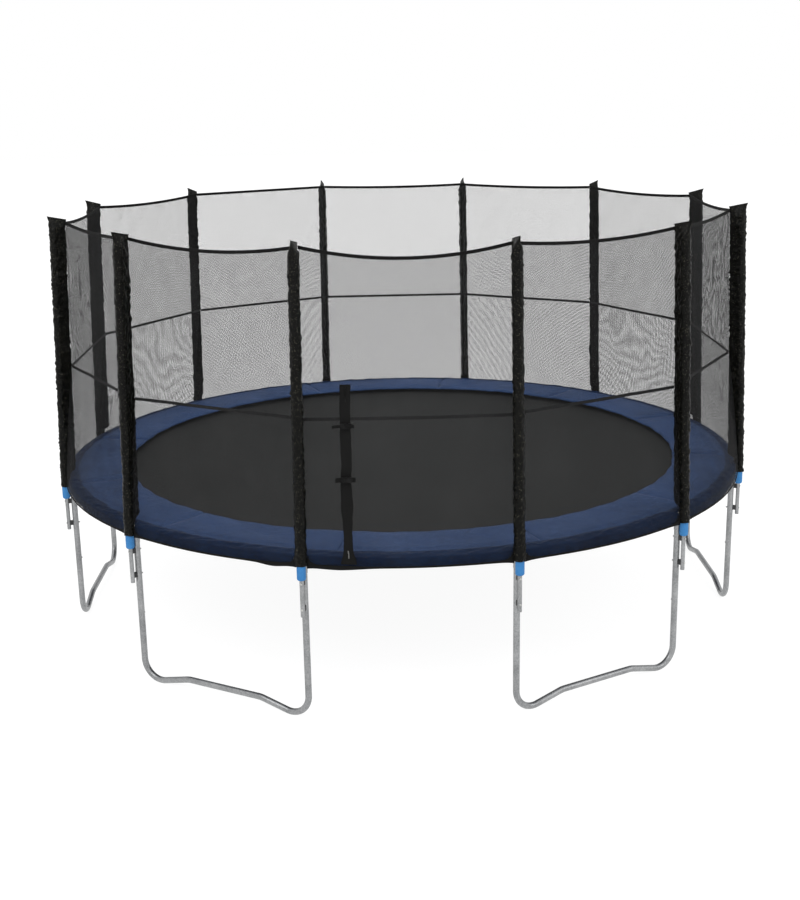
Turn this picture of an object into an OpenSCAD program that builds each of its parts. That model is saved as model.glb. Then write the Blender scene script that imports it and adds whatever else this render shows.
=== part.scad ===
// Round garden trampoline with a twelve-pole safety enclosure.
// Millimetres, +Z up, origin on the ground under the middle of the jumping mat.
// The entrance panel of the net faces -Y. Angles grow from -Y towards +X.

/* [Frame ring] */
// Radius of the ring, to the centre of its tube
ring_r = 2267; // [2200:1:2350]
// Height of the ring's tube centre above the ground
ring_z = 955; // [900:5:1000]
// Outside diameter of the ring and leg tubes
frame_tube_d = 38; // [36:1:42]
// Wall of the ring and leg tubes
frame_tube_wall = 1.5; // [1.2:0.1:2]
// Length of the swaged end that slides into the next tube
spigot_length = 55; // [40:5:80]

/* [Legs] */
// Height of the joint between an upright and its base
leg_joint_z = 390; // [320:10:460]
// Radius of the bend at each foot of a base
foot_bend_r = 120; // [90:5:140]
// How far each foot is bent past level, in degrees
foot_over_bend = 13; // [8:1:16]
// How high the middle of a base stands over its feet
base_rise = 45; // [30:1:60]

/* [Enclosure poles] */
// Outside diameter of an enclosure pole
pole_d = 25; // [22:1:32]
// Wall of an enclosure pole
pole_wall = 1.2; // [1:0.1:1.5]
// Radius at which the poles stand, to the pole's centre
pole_r = 2312.5; // [2310:0.5:2330]
// Height of the lower end of a pole
pole_foot_z = 637; // [600:1:660]
// Height of the pole's tip above the ground
pole_top_z = 2590; // [2500:1:2595]
// Inward lean of the pole above its bend, in degrees
pole_lean = 2.13; // [1.5:0.01:2.5]
// Heights of the two bolts that hold a pole to its leg
bolt_z = [680, 832]; // [660:1:850]

/* [Mat and springs] */
// Radius of the jumping mat
mat_r = 2040; // [1990:5:2045]
// Height of the mat's top face
mat_z = 957; // [940:1:960]
// Thickness of the mat in this model
mat_thick = 2.5; // [2:0.5:4]
// Springs on each of the twelve rails
springs_per_rail = 8; // [6:1:8]
// Diameter of a spring's coil
coil_d = 18; // [14:1:20]
// Diameter of the spring wire
spring_wire_d = 3.2; // [2.6:0.1:3.4]

/* [Safety pad] */
// Inner radius of the pad
pad_inner_r = 1869; // [1840:1:1900]
// Height of the pad's top face
pad_top_z = 1001; // [995:1:1010]
// Thickness of the pad
pad_thick = 20; // [15:1:22]
// Height of the lower edge of the pad's skirt
skirt_z = 932; // [900:1:940]

/* [Net and sleeves] */
// Height of the net's top edge at a pole
net_top_z = 2674; // [2600:1:2680]
// Height of the net's bottom hem
hem_z = 945; // [930:1:950]
// Height of the belt strap
belt_z = 1738; // [1600:1:1800]
// Thickness of the net panels in this model
net_thick = 1.6; // [1.2:0.1:2.4]
// Height of the lower end of the sleeves
sleeve_z = 925; // [915:1:935]
// Diameter of the foam tube round each pole
foam_d = 48; // [44:1:48]
// Height of the lower end of the foam tubes
foam_z = 852; // [850:1:870]

/* [Entrance] */
// How far along the entrance panel the zip stands
zip_at = 0.205; // [0.15:0.005:0.5]
// Height of the zip's upper end
zip_top_z = 1920; // [1800:10:1950]
// Width of the zip's tape
zip_w = 60; // [40:1:70]
// Heights of the two side-release buckles
buckle_z = [1420, 1705]; // [1300:1:1730]

/* [Hidden] */
sectors = 12;
step = 360 / sectors;
half_step = step / 2;
first_pole = -half_step;
groups = sectors / 2;

tube_r = frame_tube_d / 2;
tube_bore = tube_r - frame_tube_wall;
fit_gap = 0.3;
spigot_r = tube_bore - fit_gap;
spigot_bore = spigot_r - frame_tube_wall;
rail_lag = 7.5;
spigot_sweep = spigot_length / ring_r * 180 / PI;
socket_r = 21;
socket_bore = tube_r + fit_gap;
socket_foot_z = ring_z - 75;
upright_top_z = ring_z - tube_r - 3;
bolt_hole_r = 3.2;
bolt_r = 3;
collar_half = 1;
root = 8;
hook_hole_r = 3.5;

leg_chord = 2 * ring_r * sin(half_step);
foot_bend_z = foot_bend_r + tube_r;
back_bend_r = 150;
ramp = (base_rise - (foot_bend_r + back_bend_r) * (1 - cos(foot_over_bend))) / sin(foot_over_bend);
foot_run = foot_bend_r + (foot_bend_r + back_bend_r) * sin(foot_over_bend) + ramp * cos(foot_over_bend);
base_middle = leg_chord - 2 * foot_run;
base_drop = leg_joint_z - foot_bend_z;
screw_z = leg_joint_z + 40;

pole_tube_r = pole_d / 2;
pole_bore = pole_tube_r - pole_wall;
pole_bend_z = 905;
pole_bend_r = 300;
pole_overlap = 70;
lower_pole_run = 60;
pole_rise = (pole_top_z - pole_bend_z) / cos(pole_lean);
spacer_h = 28;

sleeve_r = 29;
sleeve_bore = foam_d / 2 + 0.8;
flap_reach = 70;
flap_r = 4;
flap_z = pad_top_z + 5;
crest_z = 2602;
crest_w = 128;
crest_lift = 20;

spring_pitch = step / springs_per_rail;
spring_z = 958;
coil_outer_r = 2218;
coil_inner_r = 2100;
ring_tip_r = 2076;
ring_wire_r = 2;
ring_base_w = 34;
tail_z = spring_z + 7.1;
hook_inset = 12;
coil_wall = 3.6;

skirt_r = 2287.6;
skirt_thick = 1.8;
pad_seam = 1;
seam_lag = 4.5;
notch_w = 66;
notch_r = 2262;
net_low_r = 2296;
band_h = 28;
belt_h = 18;
buckle_out = 19;

// Sag of the top band between each pair of poles, from the entrance round to its left
sags = [68, 31, 20, 20, 20, 11, 11, 0, 20, 20, 20, 47];

function name_2(i) = str(i < 10 ? "0" : "", i);
rail_names = [for (i = [1:sectors]) str("rail_", name_2(i))];
upright_names = [for (i = [1:sectors]) str("leg_upright_", name_2(i))];
base_names = [for (i = [1:groups]) str("leg_base_", i)];
enclosure_names = ["lower_poles", "upper_poles", "pole_caps", "pole_spacers", "pole_bolts", "pole_nuts",
    "foam_tubes", "pole_sleeves", "net_panels", "net_top_band", "net_belt", "net_bottom_hem",
    "zip_tape", "zip_slider", "lower_buckle_socket", "lower_buckle_plug",
    "upper_buckle_socket", "upper_buckle_plug"];
bed_names = ["leg_screws", "springs", "spring_rings", "jump_mat", "mat_hem", "safety_pad"];

steel = [0.66, 0.67, 0.68];
black = [0.09, 0.1, 0.09];
blue = [0.2, 0.25, 0.38];
foam_blue = [0.28, 0.57, 0.82];

$fn = 48;

function pole_angle(i) = first_pole + step * i;

// Turns a piece drawn on +X, pointing outwards, to the angle a round the ring
module polar(a) {
    rotate([0, 0, a - 90]) children();
}

module each_pole() {
    for (i = [0:sectors - 1]) polar(pole_angle(i)) children();
}

// A stretch of tube core along the ring, from the angle a over the sweep
module ring_core(a, sweep, r) {
    translate([0, 0, ring_z]) rotate([0, 0, a]) rotate_extrude(angle = sweep, $fn = 96)
        translate([ring_r, 0]) circle(r);
}

// One bend of radius r through a degrees, starting at the origin along +Z and turning to +X if a > 0
module bend(r, a, core) {
    side = a > 0 ? 180 : 0;
    translate([r * sign(a), 0, 0]) rotate([90, 0, side]) rotate_extrude(angle = abs(a), $fn = 64)
        translate([r, 0]) circle(core);
}

// A hair-thin collar that bridges two steps of a bent core
module collar(core) {
    translate([0, 0, -collar_half]) cylinder(h = 2 * collar_half, r = core + 0.1);
}

// A bent core: each step is [length] for a straight or [radius, degrees] for a bend
module bent_core(steps, core, i = 0) {
    if (i < len(steps)) {
        s = steps[i];
        if (i > 0) collar(core);
        if (len(s) == 1) {
            cylinder(h = s[0], r = core);
            translate([0, 0, s[0]]) bent_core(steps, core, i + 1);
        } else {
            bend(s[0], s[1], core);
            off = s[0] * sign(s[1]);
            translate([off, 0, 0]) rotate([0, s[1], 0]) translate([-off, 0, 0]) bent_core(steps, core, i + 1);
        }
    }
}

module radial_pin(x0, x1, z, r) {
    translate([x0, 0, z]) rotate([0, 90, 0]) cylinder(h = x1 - x0, r = r);
}

// ---- Frame ring and legs ----

module hook_hole(a) {
    rotate([0, 0, a]) translate([ring_r, 0, ring_z]) rotate([0, -45, 0])
        translate([0, 0, tube_bore - 5]) cylinder(h = 12, r = hook_hole_r, $fn = 24);
}

module rail(i) {
    color(steel) polar(pole_angle(i)) difference() {
        union() {
            ring_core(-rail_lag, step, tube_r);
            ring_core(step - rail_lag, spigot_sweep, spigot_r);
            translate([ring_r, 0, socket_foot_z]) cylinder(h = ring_z - socket_foot_z, r = socket_r);
        }
        ring_core(-rail_lag - 0.5, step + 0.4, tube_bore);
        ring_core(step - rail_lag - 0.3, spigot_sweep + 0.6, spigot_bore);
        translate([ring_r, 0, socket_foot_z - 1])
            cylinder(h = upright_top_z - socket_foot_z + 2, r = socket_bore);
        for (k = [0:springs_per_rail - 1]) hook_hole(-rail_lag + spring_pitch * (k + 0.5));
    }
}

module leg_upright(i) {
    color(steel) polar(pole_angle(i)) difference() {
        translate([ring_r, 0, leg_joint_z]) cylinder(h = upright_top_z - leg_joint_z, r = tube_r);
        translate([ring_r, 0, leg_joint_z - 1]) cylinder(h = upright_top_z - leg_joint_z + 2, r = tube_bore);
        for (z = bolt_z) radial_pin(ring_r - 30, ring_r + 30, z, bolt_hole_r);
        radial_pin(ring_r - 30, ring_r, screw_z, bolt_hole_r);
    }
}

// The core of a base from one leg joint to the other, starting short of the joints by cut
module base_core(core, cut) {
    translate([ring_r * cos(half_step), -leg_chord / 2, leg_joint_z - cut]) rotate([180, 0, 90])
        bent_core([
            [base_drop - cut],
            [foot_bend_r, 90 + foot_over_bend],
            [ramp],
            [back_bend_r, -foot_over_bend],
            [base_middle],
            [back_bend_r, -foot_over_bend],
            [ramp],
            [foot_bend_r, 90 + foot_over_bend],
            [base_drop - cut]
        ], core);
}

module leg_base(j) {
    middle = step + 2 * step * j;
    color(steel) polar(middle) difference() {
        union() {
            base_core(tube_r, 0);
            for (side = [-1, 1]) rotate([0, 0, side * half_step])
                translate([ring_r, 0, leg_joint_z - root]) cylinder(h = spigot_length + root, r = spigot_r);
        }
        base_core(tube_bore, root / 2);
        for (side = [-1, 1]) rotate([0, 0, side * half_step]) {
            translate([ring_r, 0, leg_joint_z - root])
                cylinder(h = spigot_length + root + 1, r = spigot_bore);
            radial_pin(ring_r - 30, ring_r, screw_z, bolt_hole_r);
        }
    }
}

module leg_screws() {
    color("silver") each_pole() {
        radial_pin(ring_r - tube_r - 0.2, ring_r - 12, screw_z, bolt_r);
        radial_pin(ring_r - tube_r - 4.2, ring_r - tube_r - 0.2, screw_z, 6);
    }
}

// ---- Enclosure poles ----

// Puts children at the pole's bend, leaning with the upper part of the pole
module on_lean() {
    translate([pole_r - pole_bend_r, 0, pole_bend_z]) rotate([0, -pole_lean, 0])
        translate([pole_bend_r, 0, 0]) children();
}

function lean_r(z) = pole_r - (z - pole_bend_z) * tan(pole_lean);

module pole_core(foot, run, core) {
    translate([pole_r, 0, foot])
        bent_core([[pole_bend_z - foot], [pole_bend_r, -pole_lean], [run]], core);
}

module lower_poles() {
    color(steel) each_pole() difference() {
        union() {
            pole_core(pole_foot_z, lower_pole_run, pole_tube_r);
            on_lean() translate([0, 0, lower_pole_run - root])
                cylinder(h = pole_overlap + root, r = pole_bore - fit_gap);
        }
        pole_core(pole_foot_z - 1, lower_pole_run - root / 2, pole_bore);
        on_lean() translate([0, 0, lower_pole_run - root])
            cylinder(h = pole_overlap + root + 1, r = pole_bore - fit_gap - pole_wall);
        for (z = bolt_z) radial_pin(pole_r - 20, pole_r + 20, z, bolt_hole_r);
    }
}

module upper_poles() {
    color(steel) each_pole() on_lean() difference() {
        translate([0, 0, lower_pole_run]) cylinder(h = pole_rise - lower_pole_run, r = pole_tube_r);
        translate([0, 0, lower_pole_run - 1]) cylinder(h = pole_rise - lower_pole_run + 2, r = pole_bore);
    }
}

module pole_caps() {
    color(black) each_pole() on_lean() {
        translate([0, 0, pole_rise]) cylinder(h = 3, r = pole_tube_r);
        translate([0, 0, pole_rise - 20]) cylinder(h = 20, r = pole_bore - fit_gap);
    }
}

// A spacer is saddled to the pole on one side and to the leg on the other
module pole_spacers() {
    color(black) each_pole() for (z = bolt_z) difference() {
        translate([ring_r, -11, z - spacer_h / 2]) cube([pole_r - ring_r, 22, spacer_h]);
        translate([ring_r, 0, z - spacer_h]) cylinder(h = 2 * spacer_h, r = tube_r + fit_gap);
        translate([pole_r, 0, z - spacer_h]) cylinder(h = 2 * spacer_h, r = pole_tube_r + fit_gap);
        radial_pin(ring_r, pole_r, z, bolt_hole_r);
    }
}

module pole_bolts() {
    color("silver") each_pole() for (z = bolt_z) {
        radial_pin(ring_r - tube_r - 10, pole_r + pole_tube_r + 0.3, z, bolt_r);
        radial_pin(pole_r + pole_tube_r + 0.3, pole_r + pole_tube_r + 4, z, 6.5);
    }
}

module pole_nuts() {
    color("silver") each_pole() for (z = bolt_z) difference() {
        translate([ring_r - tube_r - 5.6, 0, z]) rotate([0, 90, 0]) cylinder(h = 5.2, r = 5.8, $fn = 6);
        radial_pin(ring_r - tube_r - 8, ring_r - tube_r, z, bolt_r + 0.05);
    }
}

// The room that a rail and its socket take, where foam and sleeve are pressed flat against them
module rail_room() {
    reach = socket_r + 0.4;
    translate([ring_r - reach, -socket_r * 2, socket_foot_z - 5])
        cube([2 * reach, socket_r * 4, ring_z + tube_r + 2 - socket_foot_z + 5]);
}

module foam_tubes() {
    color(foam_blue) each_pole() difference() {
        pole_core(foam_z, pole_rise - 6, foam_d / 2);
        pole_core(foam_z - 1, pole_rise, pole_tube_r + 0.5);
        rail_room();
    }
}

// ---- Sleeves ----

arc_points = 12;

// Half-round stretch of the sleeve's outline, then the flap's round edge
function sleeve_outline(reach) = concat(
    [for (k = [0:arc_points]) let (a = -105 + 210 * k / arc_points) [sleeve_r * cos(a), sleeve_r * sin(a)]],
    [for (k = [0:4]) let (a = 105 + 150 * k / 4) [-reach + flap_r + flap_r * cos(a), flap_r * sin(a)]]
);

function at_height(points, z, dx) = [for (p = points) [p[0] + dx, p[1], z]];

// The crest squeezes the outline flat along the radius
function crest_outline(w, t) = [for (p = sleeve_outline(flap_reach))
    let (u = (p[0] + flap_reach) / (sleeve_r + flap_reach)) [-flap_reach - 8 + u * w, p[1] * t]];

// The crest's upper edge, which rises to a corner away from the net
function crest_tip(z) = [for (p = crest_outline(crest_w - 8, 0.08))
    [p[0] + 2, p[1], z + crest_lift * (p[0] + flap_reach + 8) / crest_w]];

// A solid over a stack of outlines that all have the same number of points
module ring_loft(rings) {
    n = len(rings[0]);
    m = len(rings);
    function at(j, k) = j * n + k % n;
    polyhedron(
        points = [for (r = rings) for (p = r) p],
        faces = concat(
            [[for (k = [0:n - 1]) k]],
            [[for (k = [0:n - 1]) at(m - 1, n - 1 - k)]],
            [for (j = [0:m - 2]) for (k = [0:n - 1]) [at(j, k), at(j + 1, k), at(j + 1, k + 1)]],
            [for (j = [0:m - 2]) for (k = [0:n - 1]) [at(j, k), at(j + 1, k + 1), at(j, k + 1)]]
        )
    );
}

module pole_sleeves() {
    outline = sleeve_outline(flap_reach);
    foot = sleeve_z - pole_bend_z;
    flap_foot = flap_z - pole_bend_z;
    crest_foot = crest_z - pole_bend_z;
    crest_top = net_top_z - pole_bend_z;
    color(black) each_pole() difference() {
        on_lean() union() {
            translate([0, 0, foot]) cylinder(h = flap_foot - foot + root, r = sleeve_r - 1);
            ring_loft([
                at_height(outline, flap_foot, 0),
                at_height(outline, crest_foot, 0),
                at_height(crest_outline(crest_w, 0.1), crest_top, 0),
                crest_tip(crest_top + 4)
            ]);
        }
        on_lean() translate([0, 0, foot - 1]) cylinder(h = pole_rise - foot + 6, r = sleeve_bore);
        rail_room();
    }
}

// ---- Net ----

// A point of the net's surface on panel i, at u from 0 to 1 across it and at height z, pushed out by off
function mix(a, b, t) = a + (b - a) * t;
function on_ring(r, a) = [r * sin(a), -r * cos(a)];
function clamp01(t) = max(0, min(1, t));
function edge_sweep(w, r) = asin(w / r);
function chord_top(i) = i == 0 ? zip_top_z : belt_z;
function net_xy(i, u, z, off) =
    let (
        a0 = pole_angle(i),
        a1 = a0 + step,
        low_gap = edge_sweep(sleeve_r + 4, net_low_r),
        r = lean_r(z) - flap_reach,
        top_gap = edge_sweep(flap_r + 2, r),
        t = clamp01((z - pad_top_z) / (chord_top(i) - pad_top_z)),
        low = on_ring(net_low_r + off, mix(a0 + low_gap, a1 - low_gap, u)),
        left = on_ring(r, a0 + top_gap),
        right = on_ring(r, a1 - top_gap),
        out = on_ring(off, a0 + half_step)
    )
    mix(low, mix(left, right, u) + out, t);

// A sheet of the given thickness over the panel, between two heights that may vary across it
module net_sheet(i, us, rows, off, thick) {
    nu = len(us);
    nz = len(rows);
    function at(side, j, k) = side * nu * nz + j * nu + k;
    function spot(side, j, k) =
        let (z = rows[j][k]) concat(net_xy(i, us[k], z, off + side * thick), [z]);
    // The two triangles of a four-sided face, given by the side, row and column of its corners
    function quad(c) =
        let (v = [for (p = c) at(p[0], p[1], p[2])]) [[v[0], v[1], v[2]], [v[0], v[2], v[3]]];
    inside = [for (j = [0:nz - 2]) for (k = [0:nu - 2])
        quad([[0, j, k], [0, j, k + 1], [0, j + 1, k + 1], [0, j + 1, k]])];
    outside = [for (j = [0:nz - 2]) for (k = [0:nu - 2])
        quad([[1, j, k], [1, j + 1, k], [1, j + 1, k + 1], [1, j, k + 1]])];
    foot = [for (k = [0:nu - 2]) quad([[0, 0, k], [1, 0, k], [1, 0, k + 1], [0, 0, k + 1]])];
    head = [for (k = [0:nu - 2])
        quad([[0, nz - 1, k], [0, nz - 1, k + 1], [1, nz - 1, k + 1], [1, nz - 1, k]])];
    left = [for (j = [0:nz - 2]) quad([[0, j, 0], [0, j + 1, 0], [1, j + 1, 0], [1, j, 0]])];
    right = [for (j = [0:nz - 2])
        quad([[0, j, nu - 1], [1, j, nu - 1], [1, j + 1, nu - 1], [0, j + 1, nu - 1]])];
    polyhedron(
        points = [for (side = [0, 1]) for (j = [0:nz - 1]) for (k = [0:nu - 1]) spot(side, j, k)],
        faces = [for (pair = concat(inside, outside, foot, head, left, right)) for (f = pair) f]
    );
}

// Places across a panel. The entrance panel has a column of faces behind the zip's tape
even_across = [for (k = [0:8]) k / 8];
zip_u = [for (k = [0:4]) zip_at + (k / 4 - 0.5) * zip_w / leg_chord];
entrance_across = concat([0, 0.09], zip_u, [0.32, 0.43, 0.54, 0.65, 0.77, 0.89, 1]);
function across(i) = i == 0 ? entrance_across : even_across;

function top_edge(i, u) = net_top_z - 4 * sags[i] * u * (1 - u);
function rows_at(us, heights) = [for (z = heights) [for (u = us) z]];
function edge_row(i, us, drop) = [for (u = us) top_edge(i, u) - drop];

// Heights where a panel bends. The entrance panel is straight behind the zip
function bend_heights(i) = i == 0 ? [hem_z - 10, pad_top_z, zip_top_z]
    : [hem_z - 10, pad_top_z, 1250, 1500, belt_z];

module net_panels() {
    color("dimgray") for (i = [0:sectors - 1]) {
        us = across(i);
        net_sheet(i, us, concat(rows_at(us, bend_heights(i)), [edge_row(i, us, 0)]), 0, net_thick);
    }
}

module net_top_band() {
    color(black) for (i = [0:sectors - 1]) {
        us = across(i);
        net_sheet(i, us, [for (drop = [band_h, 0]) edge_row(i, us, drop)], net_thick + 0.4, 1.5);
    }
}

module net_belt() {
    r = lean_r(belt_z) - flap_reach - 3;
    w = 2 * r * sin(half_step) - 24;
    color(black) for (i = [0:sectors - 1]) polar(pole_angle(i) + half_step)
        translate([r * cos(half_step) - 2, -w / 2, belt_z - belt_h / 2]) cube([2, w, belt_h]);
}

module net_bottom_hem() {
    gap = edge_sweep(sleeve_r + 4, net_low_r);
    low_r = net_low_r + net_thick + 0.4;
    color(black) for (i = [0:sectors - 1]) polar(pole_angle(i)) rotate([0, 0, gap])
        rotate_extrude(angle = step - 2 * gap, $fn = 96) translate([low_r, hem_z - 12]) square([1.6, 24]);
}

// ---- Entrance ----

function zip_xy(z, off) = net_xy(0, zip_at, z, off);
zip_axis_low = concat(zip_xy(pad_top_z, 6), [pad_top_z]);
zip_axis_high = concat(zip_xy(zip_top_z, 6), [zip_top_z]);
module zip_tape() {
    z_low = hem_z + 14;
    color(black) net_sheet(0, zip_u, rows_at(zip_u, [z_low, pad_top_z, zip_top_z]), net_thick + 0.4, 2);
}

// Runs children up the zip's straight line, dist along it from the pad's top
module on_zip(dist) {
    d = zip_axis_high - zip_axis_low;
    translate(zip_axis_low + d / norm(d) * dist) rotate([-atan2(d[1], d[2]), 0, 0]) children();
}

module zip_slider() {
    color("silver") on_zip(22) translate([0, -3.5, 0]) difference() {
        union() {
            translate([-6, -3, -9]) cube([12, 6, 18]);
            translate([-3, -6, -34]) cube([6, 2, 30]);
            translate([-3, -6, -8]) cube([6, 4, 4]);
        }
        translate([0, 0, -29]) rotate([90, 0, 0]) cylinder(h = 12, r = 1.8, center = true);
    }
}

// Puts children in front of the zip at buckle n, clear of the slider's way
module at_buckle(n) {
    on_net = zip_xy(buckle_z[n], 0);
    translate([on_net[0], on_net[1] - buckle_out, buckle_z[n]]) children();
}

// The half with the opening, on the +X side of the zip, with its webbing
module buckle_socket(n) {
    color(black) at_buckle(n) {
        difference() {
            translate([-6, -11, -16]) cube([38, 11, 32]);
            translate([-7, -8.8, -12.2]) cube([30, 6.6, 24.4]);
            translate([6, -12, -17]) cube([9, 13, 6]);
            translate([6, -12, 11]) cube([9, 13, 6]);
        }
        translate([32, -3.5, -12.5]) cube([42, 2, 25]);
    }
}

// The half with the two spring prongs, on the -X side, with its webbing
module buckle_plug(n) {
    color(black) at_buckle(n) {
        translate([-26, -10, -14]) cube([18, 9, 28]);
        for (side = [-1, 1]) translate([-8.5, -8, side * 8 - 2.5]) cube([27, 5, 5]);
        translate([-72, -3.5, -12.5]) cube([46, 2, 25]);
    }
}

module lower_buckle_socket() { buckle_socket(0); }
module lower_buckle_plug() { buckle_plug(0); }
module upper_buckle_socket() { buckle_socket(1); }
module upper_buckle_plug() { buckle_plug(1); }

// ---- Mat, springs and pad ----

module each_spring() {
    for (i = [0:sectors - 1]) for (k = [0:springs_per_rail - 1])
        polar(pole_angle(i) - rail_lag + spring_pitch * (k + 0.5)) children();
}

// A straight piece of wire between two points of the radial plane
module wire(from, to, r) {
    d = to - from;
    translate([from[0], 0, from[1]]) rotate([0, atan2(d[0], d[1]), 0]) cylinder(h = norm(d), r = r, $fn = 16);
}

hook_out = tube_r + 6;
hook_in = tube_r - 8;
hook_high = [ring_r - hook_out * sin(45), ring_z + hook_out * cos(45)];
hook_low = [ring_r - hook_in * sin(45), ring_z + hook_in * cos(45)];

module springs() {
    wire_r = spring_wire_d / 2;
    color("silver") each_spring() {
        difference() {
            radial_pin(coil_inner_r, coil_outer_r, spring_z, coil_d / 2, $fn = 24);
            radial_pin(coil_inner_r - 1, coil_outer_r + 1, spring_z, coil_d / 2 - coil_wall, $fn = 24);
        }
        wire([coil_outer_r - 1, tail_z], hook_high, wire_r);
        wire(hook_high, hook_low, wire_r);
        wire([coil_inner_r + 1, tail_z], [ring_tip_r - hook_inset, tail_z], wire_r);
        wire([ring_tip_r - hook_inset, tail_z + 1], [ring_tip_r - hook_inset, spring_z - 8], wire_r);
    }
}

// A flat triangle with its base in the mat's hem and its tip towards the spring
module ring_outline(grow) {
    tip = ring_tip_r + 2 * grow;
    tip_half = max(0.5, grow);
    polygon([
        [mat_r + 3 - grow, -ring_base_w / 2 - 1.5 * grow],
        [tip, -tip_half],
        [tip, tip_half],
        [mat_r + 3 - grow, ring_base_w / 2 + 1.5 * grow]
    ]);
}

module spring_rings() {
    color("silver") each_spring() translate([0, 0, mat_z + 1.3])
        linear_extrude(2 * ring_wire_r) difference() {
            ring_outline(ring_wire_r);
            ring_outline(-ring_wire_r);
        }
}

module jump_mat() {
    color(black) translate([0, 0, mat_z - mat_thick]) cylinder(h = mat_thick, r = mat_r, $fn = 192);
}

module mat_hem() {
    color(black) rotate_extrude($fn = 192) translate([mat_r - 30, mat_z + 0.4]) square([36, 6]);
}

module safety_pad() {
    skirt_out = skirt_r + skirt_thick;
    seam = pad_seam / ring_r * 180 / PI;
    color(blue) for (i = [0:sectors - 1]) difference() {
        polar(pole_angle(i) - step + seam_lag) rotate([0, 0, seam / 2])
            rotate_extrude(angle = step - seam, $fn = 96) polygon([
                [pad_inner_r, pad_top_z - pad_thick],
                [skirt_r, pad_top_z - pad_thick],
                [skirt_r, skirt_z],
                [skirt_out, skirt_z],
                [skirt_out, pad_top_z],
                [pad_inner_r, pad_top_z]
            ]);
        polar(pole_angle(i)) translate([notch_r, -notch_w / 2, skirt_z - 10])
            cube([60, notch_w, pad_top_z - skirt_z + 20]);
    }
}

// ---- Assembly ----

for (i = [0:sectors - 1]) {
    rail(i);
    leg_upright(i);
}
for (j = [0:groups - 1]) leg_base(j);
leg_screws();
lower_poles();
upper_poles();
pole_caps();
pole_spacers();
pole_bolts();
pole_nuts();
foam_tubes();
pole_sleeves();
net_panels();
net_top_band();
net_belt();
net_bottom_hem();
zip_tape();
zip_slider();
lower_buckle_socket();
lower_buckle_plug();
upper_buckle_socket();
upper_buckle_plug();
springs();
spring_rings();
jump_mat();
mat_hem();
safety_pad();
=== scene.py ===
# %% [markdown]
# # A garden trampoline with a net round it
# The steel frame, the legs and the poles come from the packed model and stay as they are.
# Everything soft is made here: the mat, the pad, the sleeves and the net. So is what repeats, such
# as the springs and the bolts. We first load the frame.

# %% Load the packed frame
import math
import bpy
import numpy as np
from mathutils import Matrix, Vector, noise


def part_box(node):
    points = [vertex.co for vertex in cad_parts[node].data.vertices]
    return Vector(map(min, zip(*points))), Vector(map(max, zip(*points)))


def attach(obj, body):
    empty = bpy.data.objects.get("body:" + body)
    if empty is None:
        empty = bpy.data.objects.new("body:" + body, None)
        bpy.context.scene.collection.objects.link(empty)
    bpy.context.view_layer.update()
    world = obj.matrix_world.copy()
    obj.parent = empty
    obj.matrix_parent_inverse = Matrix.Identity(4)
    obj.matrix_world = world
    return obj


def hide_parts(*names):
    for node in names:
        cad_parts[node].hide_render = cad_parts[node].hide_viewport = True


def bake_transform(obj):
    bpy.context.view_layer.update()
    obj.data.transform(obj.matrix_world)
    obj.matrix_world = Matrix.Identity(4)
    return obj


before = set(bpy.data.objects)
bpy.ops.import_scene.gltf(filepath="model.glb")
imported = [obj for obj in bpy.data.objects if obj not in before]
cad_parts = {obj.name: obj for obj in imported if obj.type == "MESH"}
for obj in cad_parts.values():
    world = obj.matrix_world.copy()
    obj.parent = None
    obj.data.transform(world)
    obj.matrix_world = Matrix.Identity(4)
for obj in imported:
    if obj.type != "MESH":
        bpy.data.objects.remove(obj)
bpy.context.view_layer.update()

# %% [markdown]
# ## The camera
# A camera on a tripod is placed by its distance, its turn round the object and its height
# angle. We work out its three axes ourselves, because the tripod head was tilted by one
# degree, and a tracking constraint would level it.

# %% Place the camera
LENS = 53.88
TARGET = Vector((-0.0107, 0, 0.9682))
DISTANCE = 9.506
AZIMUTH, ELEVATION, ROLL = (math.radians(v) for v in (-0.93, 15.272, -1.032))

back = Vector((math.sin(AZIMUTH) * math.cos(ELEVATION),
               -math.cos(AZIMUTH) * math.cos(ELEVATION), math.sin(ELEVATION)))
level_right = Vector((math.cos(AZIMUTH), math.sin(AZIMUTH), 0))
level_up = back.cross(level_right)
right = math.cos(ROLL) * level_right + math.sin(ROLL) * level_up
up = math.cos(ROLL) * level_up - math.sin(ROLL) * level_right

camera = bpy.data.objects.new("Camera", bpy.data.cameras.new("Camera"))
camera.data.lens = LENS
axes = Matrix((right, up, back)).transposed().to_4x4()
camera.matrix_world = Matrix.Translation(TARGET + back * DISTANCE) @ axes
bpy.context.collection.objects.link(camera)
bpy.context.scene.camera = camera
print("the camera stands at", [round(v, 2) for v in camera.location])

# %% [markdown]
# ## Where things are
# The ring has twelve poles, thirty degrees apart, and the entrance faces -Y. Angles grow
# from -Y towards +X, as you would walk round it to the right. Heights and radii that the
# frame can tell are read from its boxes. The rest repeat the sizes of the packed model.

# %% Name the sizes
POLES = 12
STEP = 360 / POLES
FIRST_POLE = -STEP / 2
RAIL_LAG = 7.5
SPRINGS_PER_RAIL = 8
SPRINGS = POLES * SPRINGS_PER_RAIL
SPRING_STEP = STEP / SPRINGS_PER_RAIL
FIRST_SPRING = FIRST_POLE - RAIL_LAG + SPRING_STEP / 2

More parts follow.
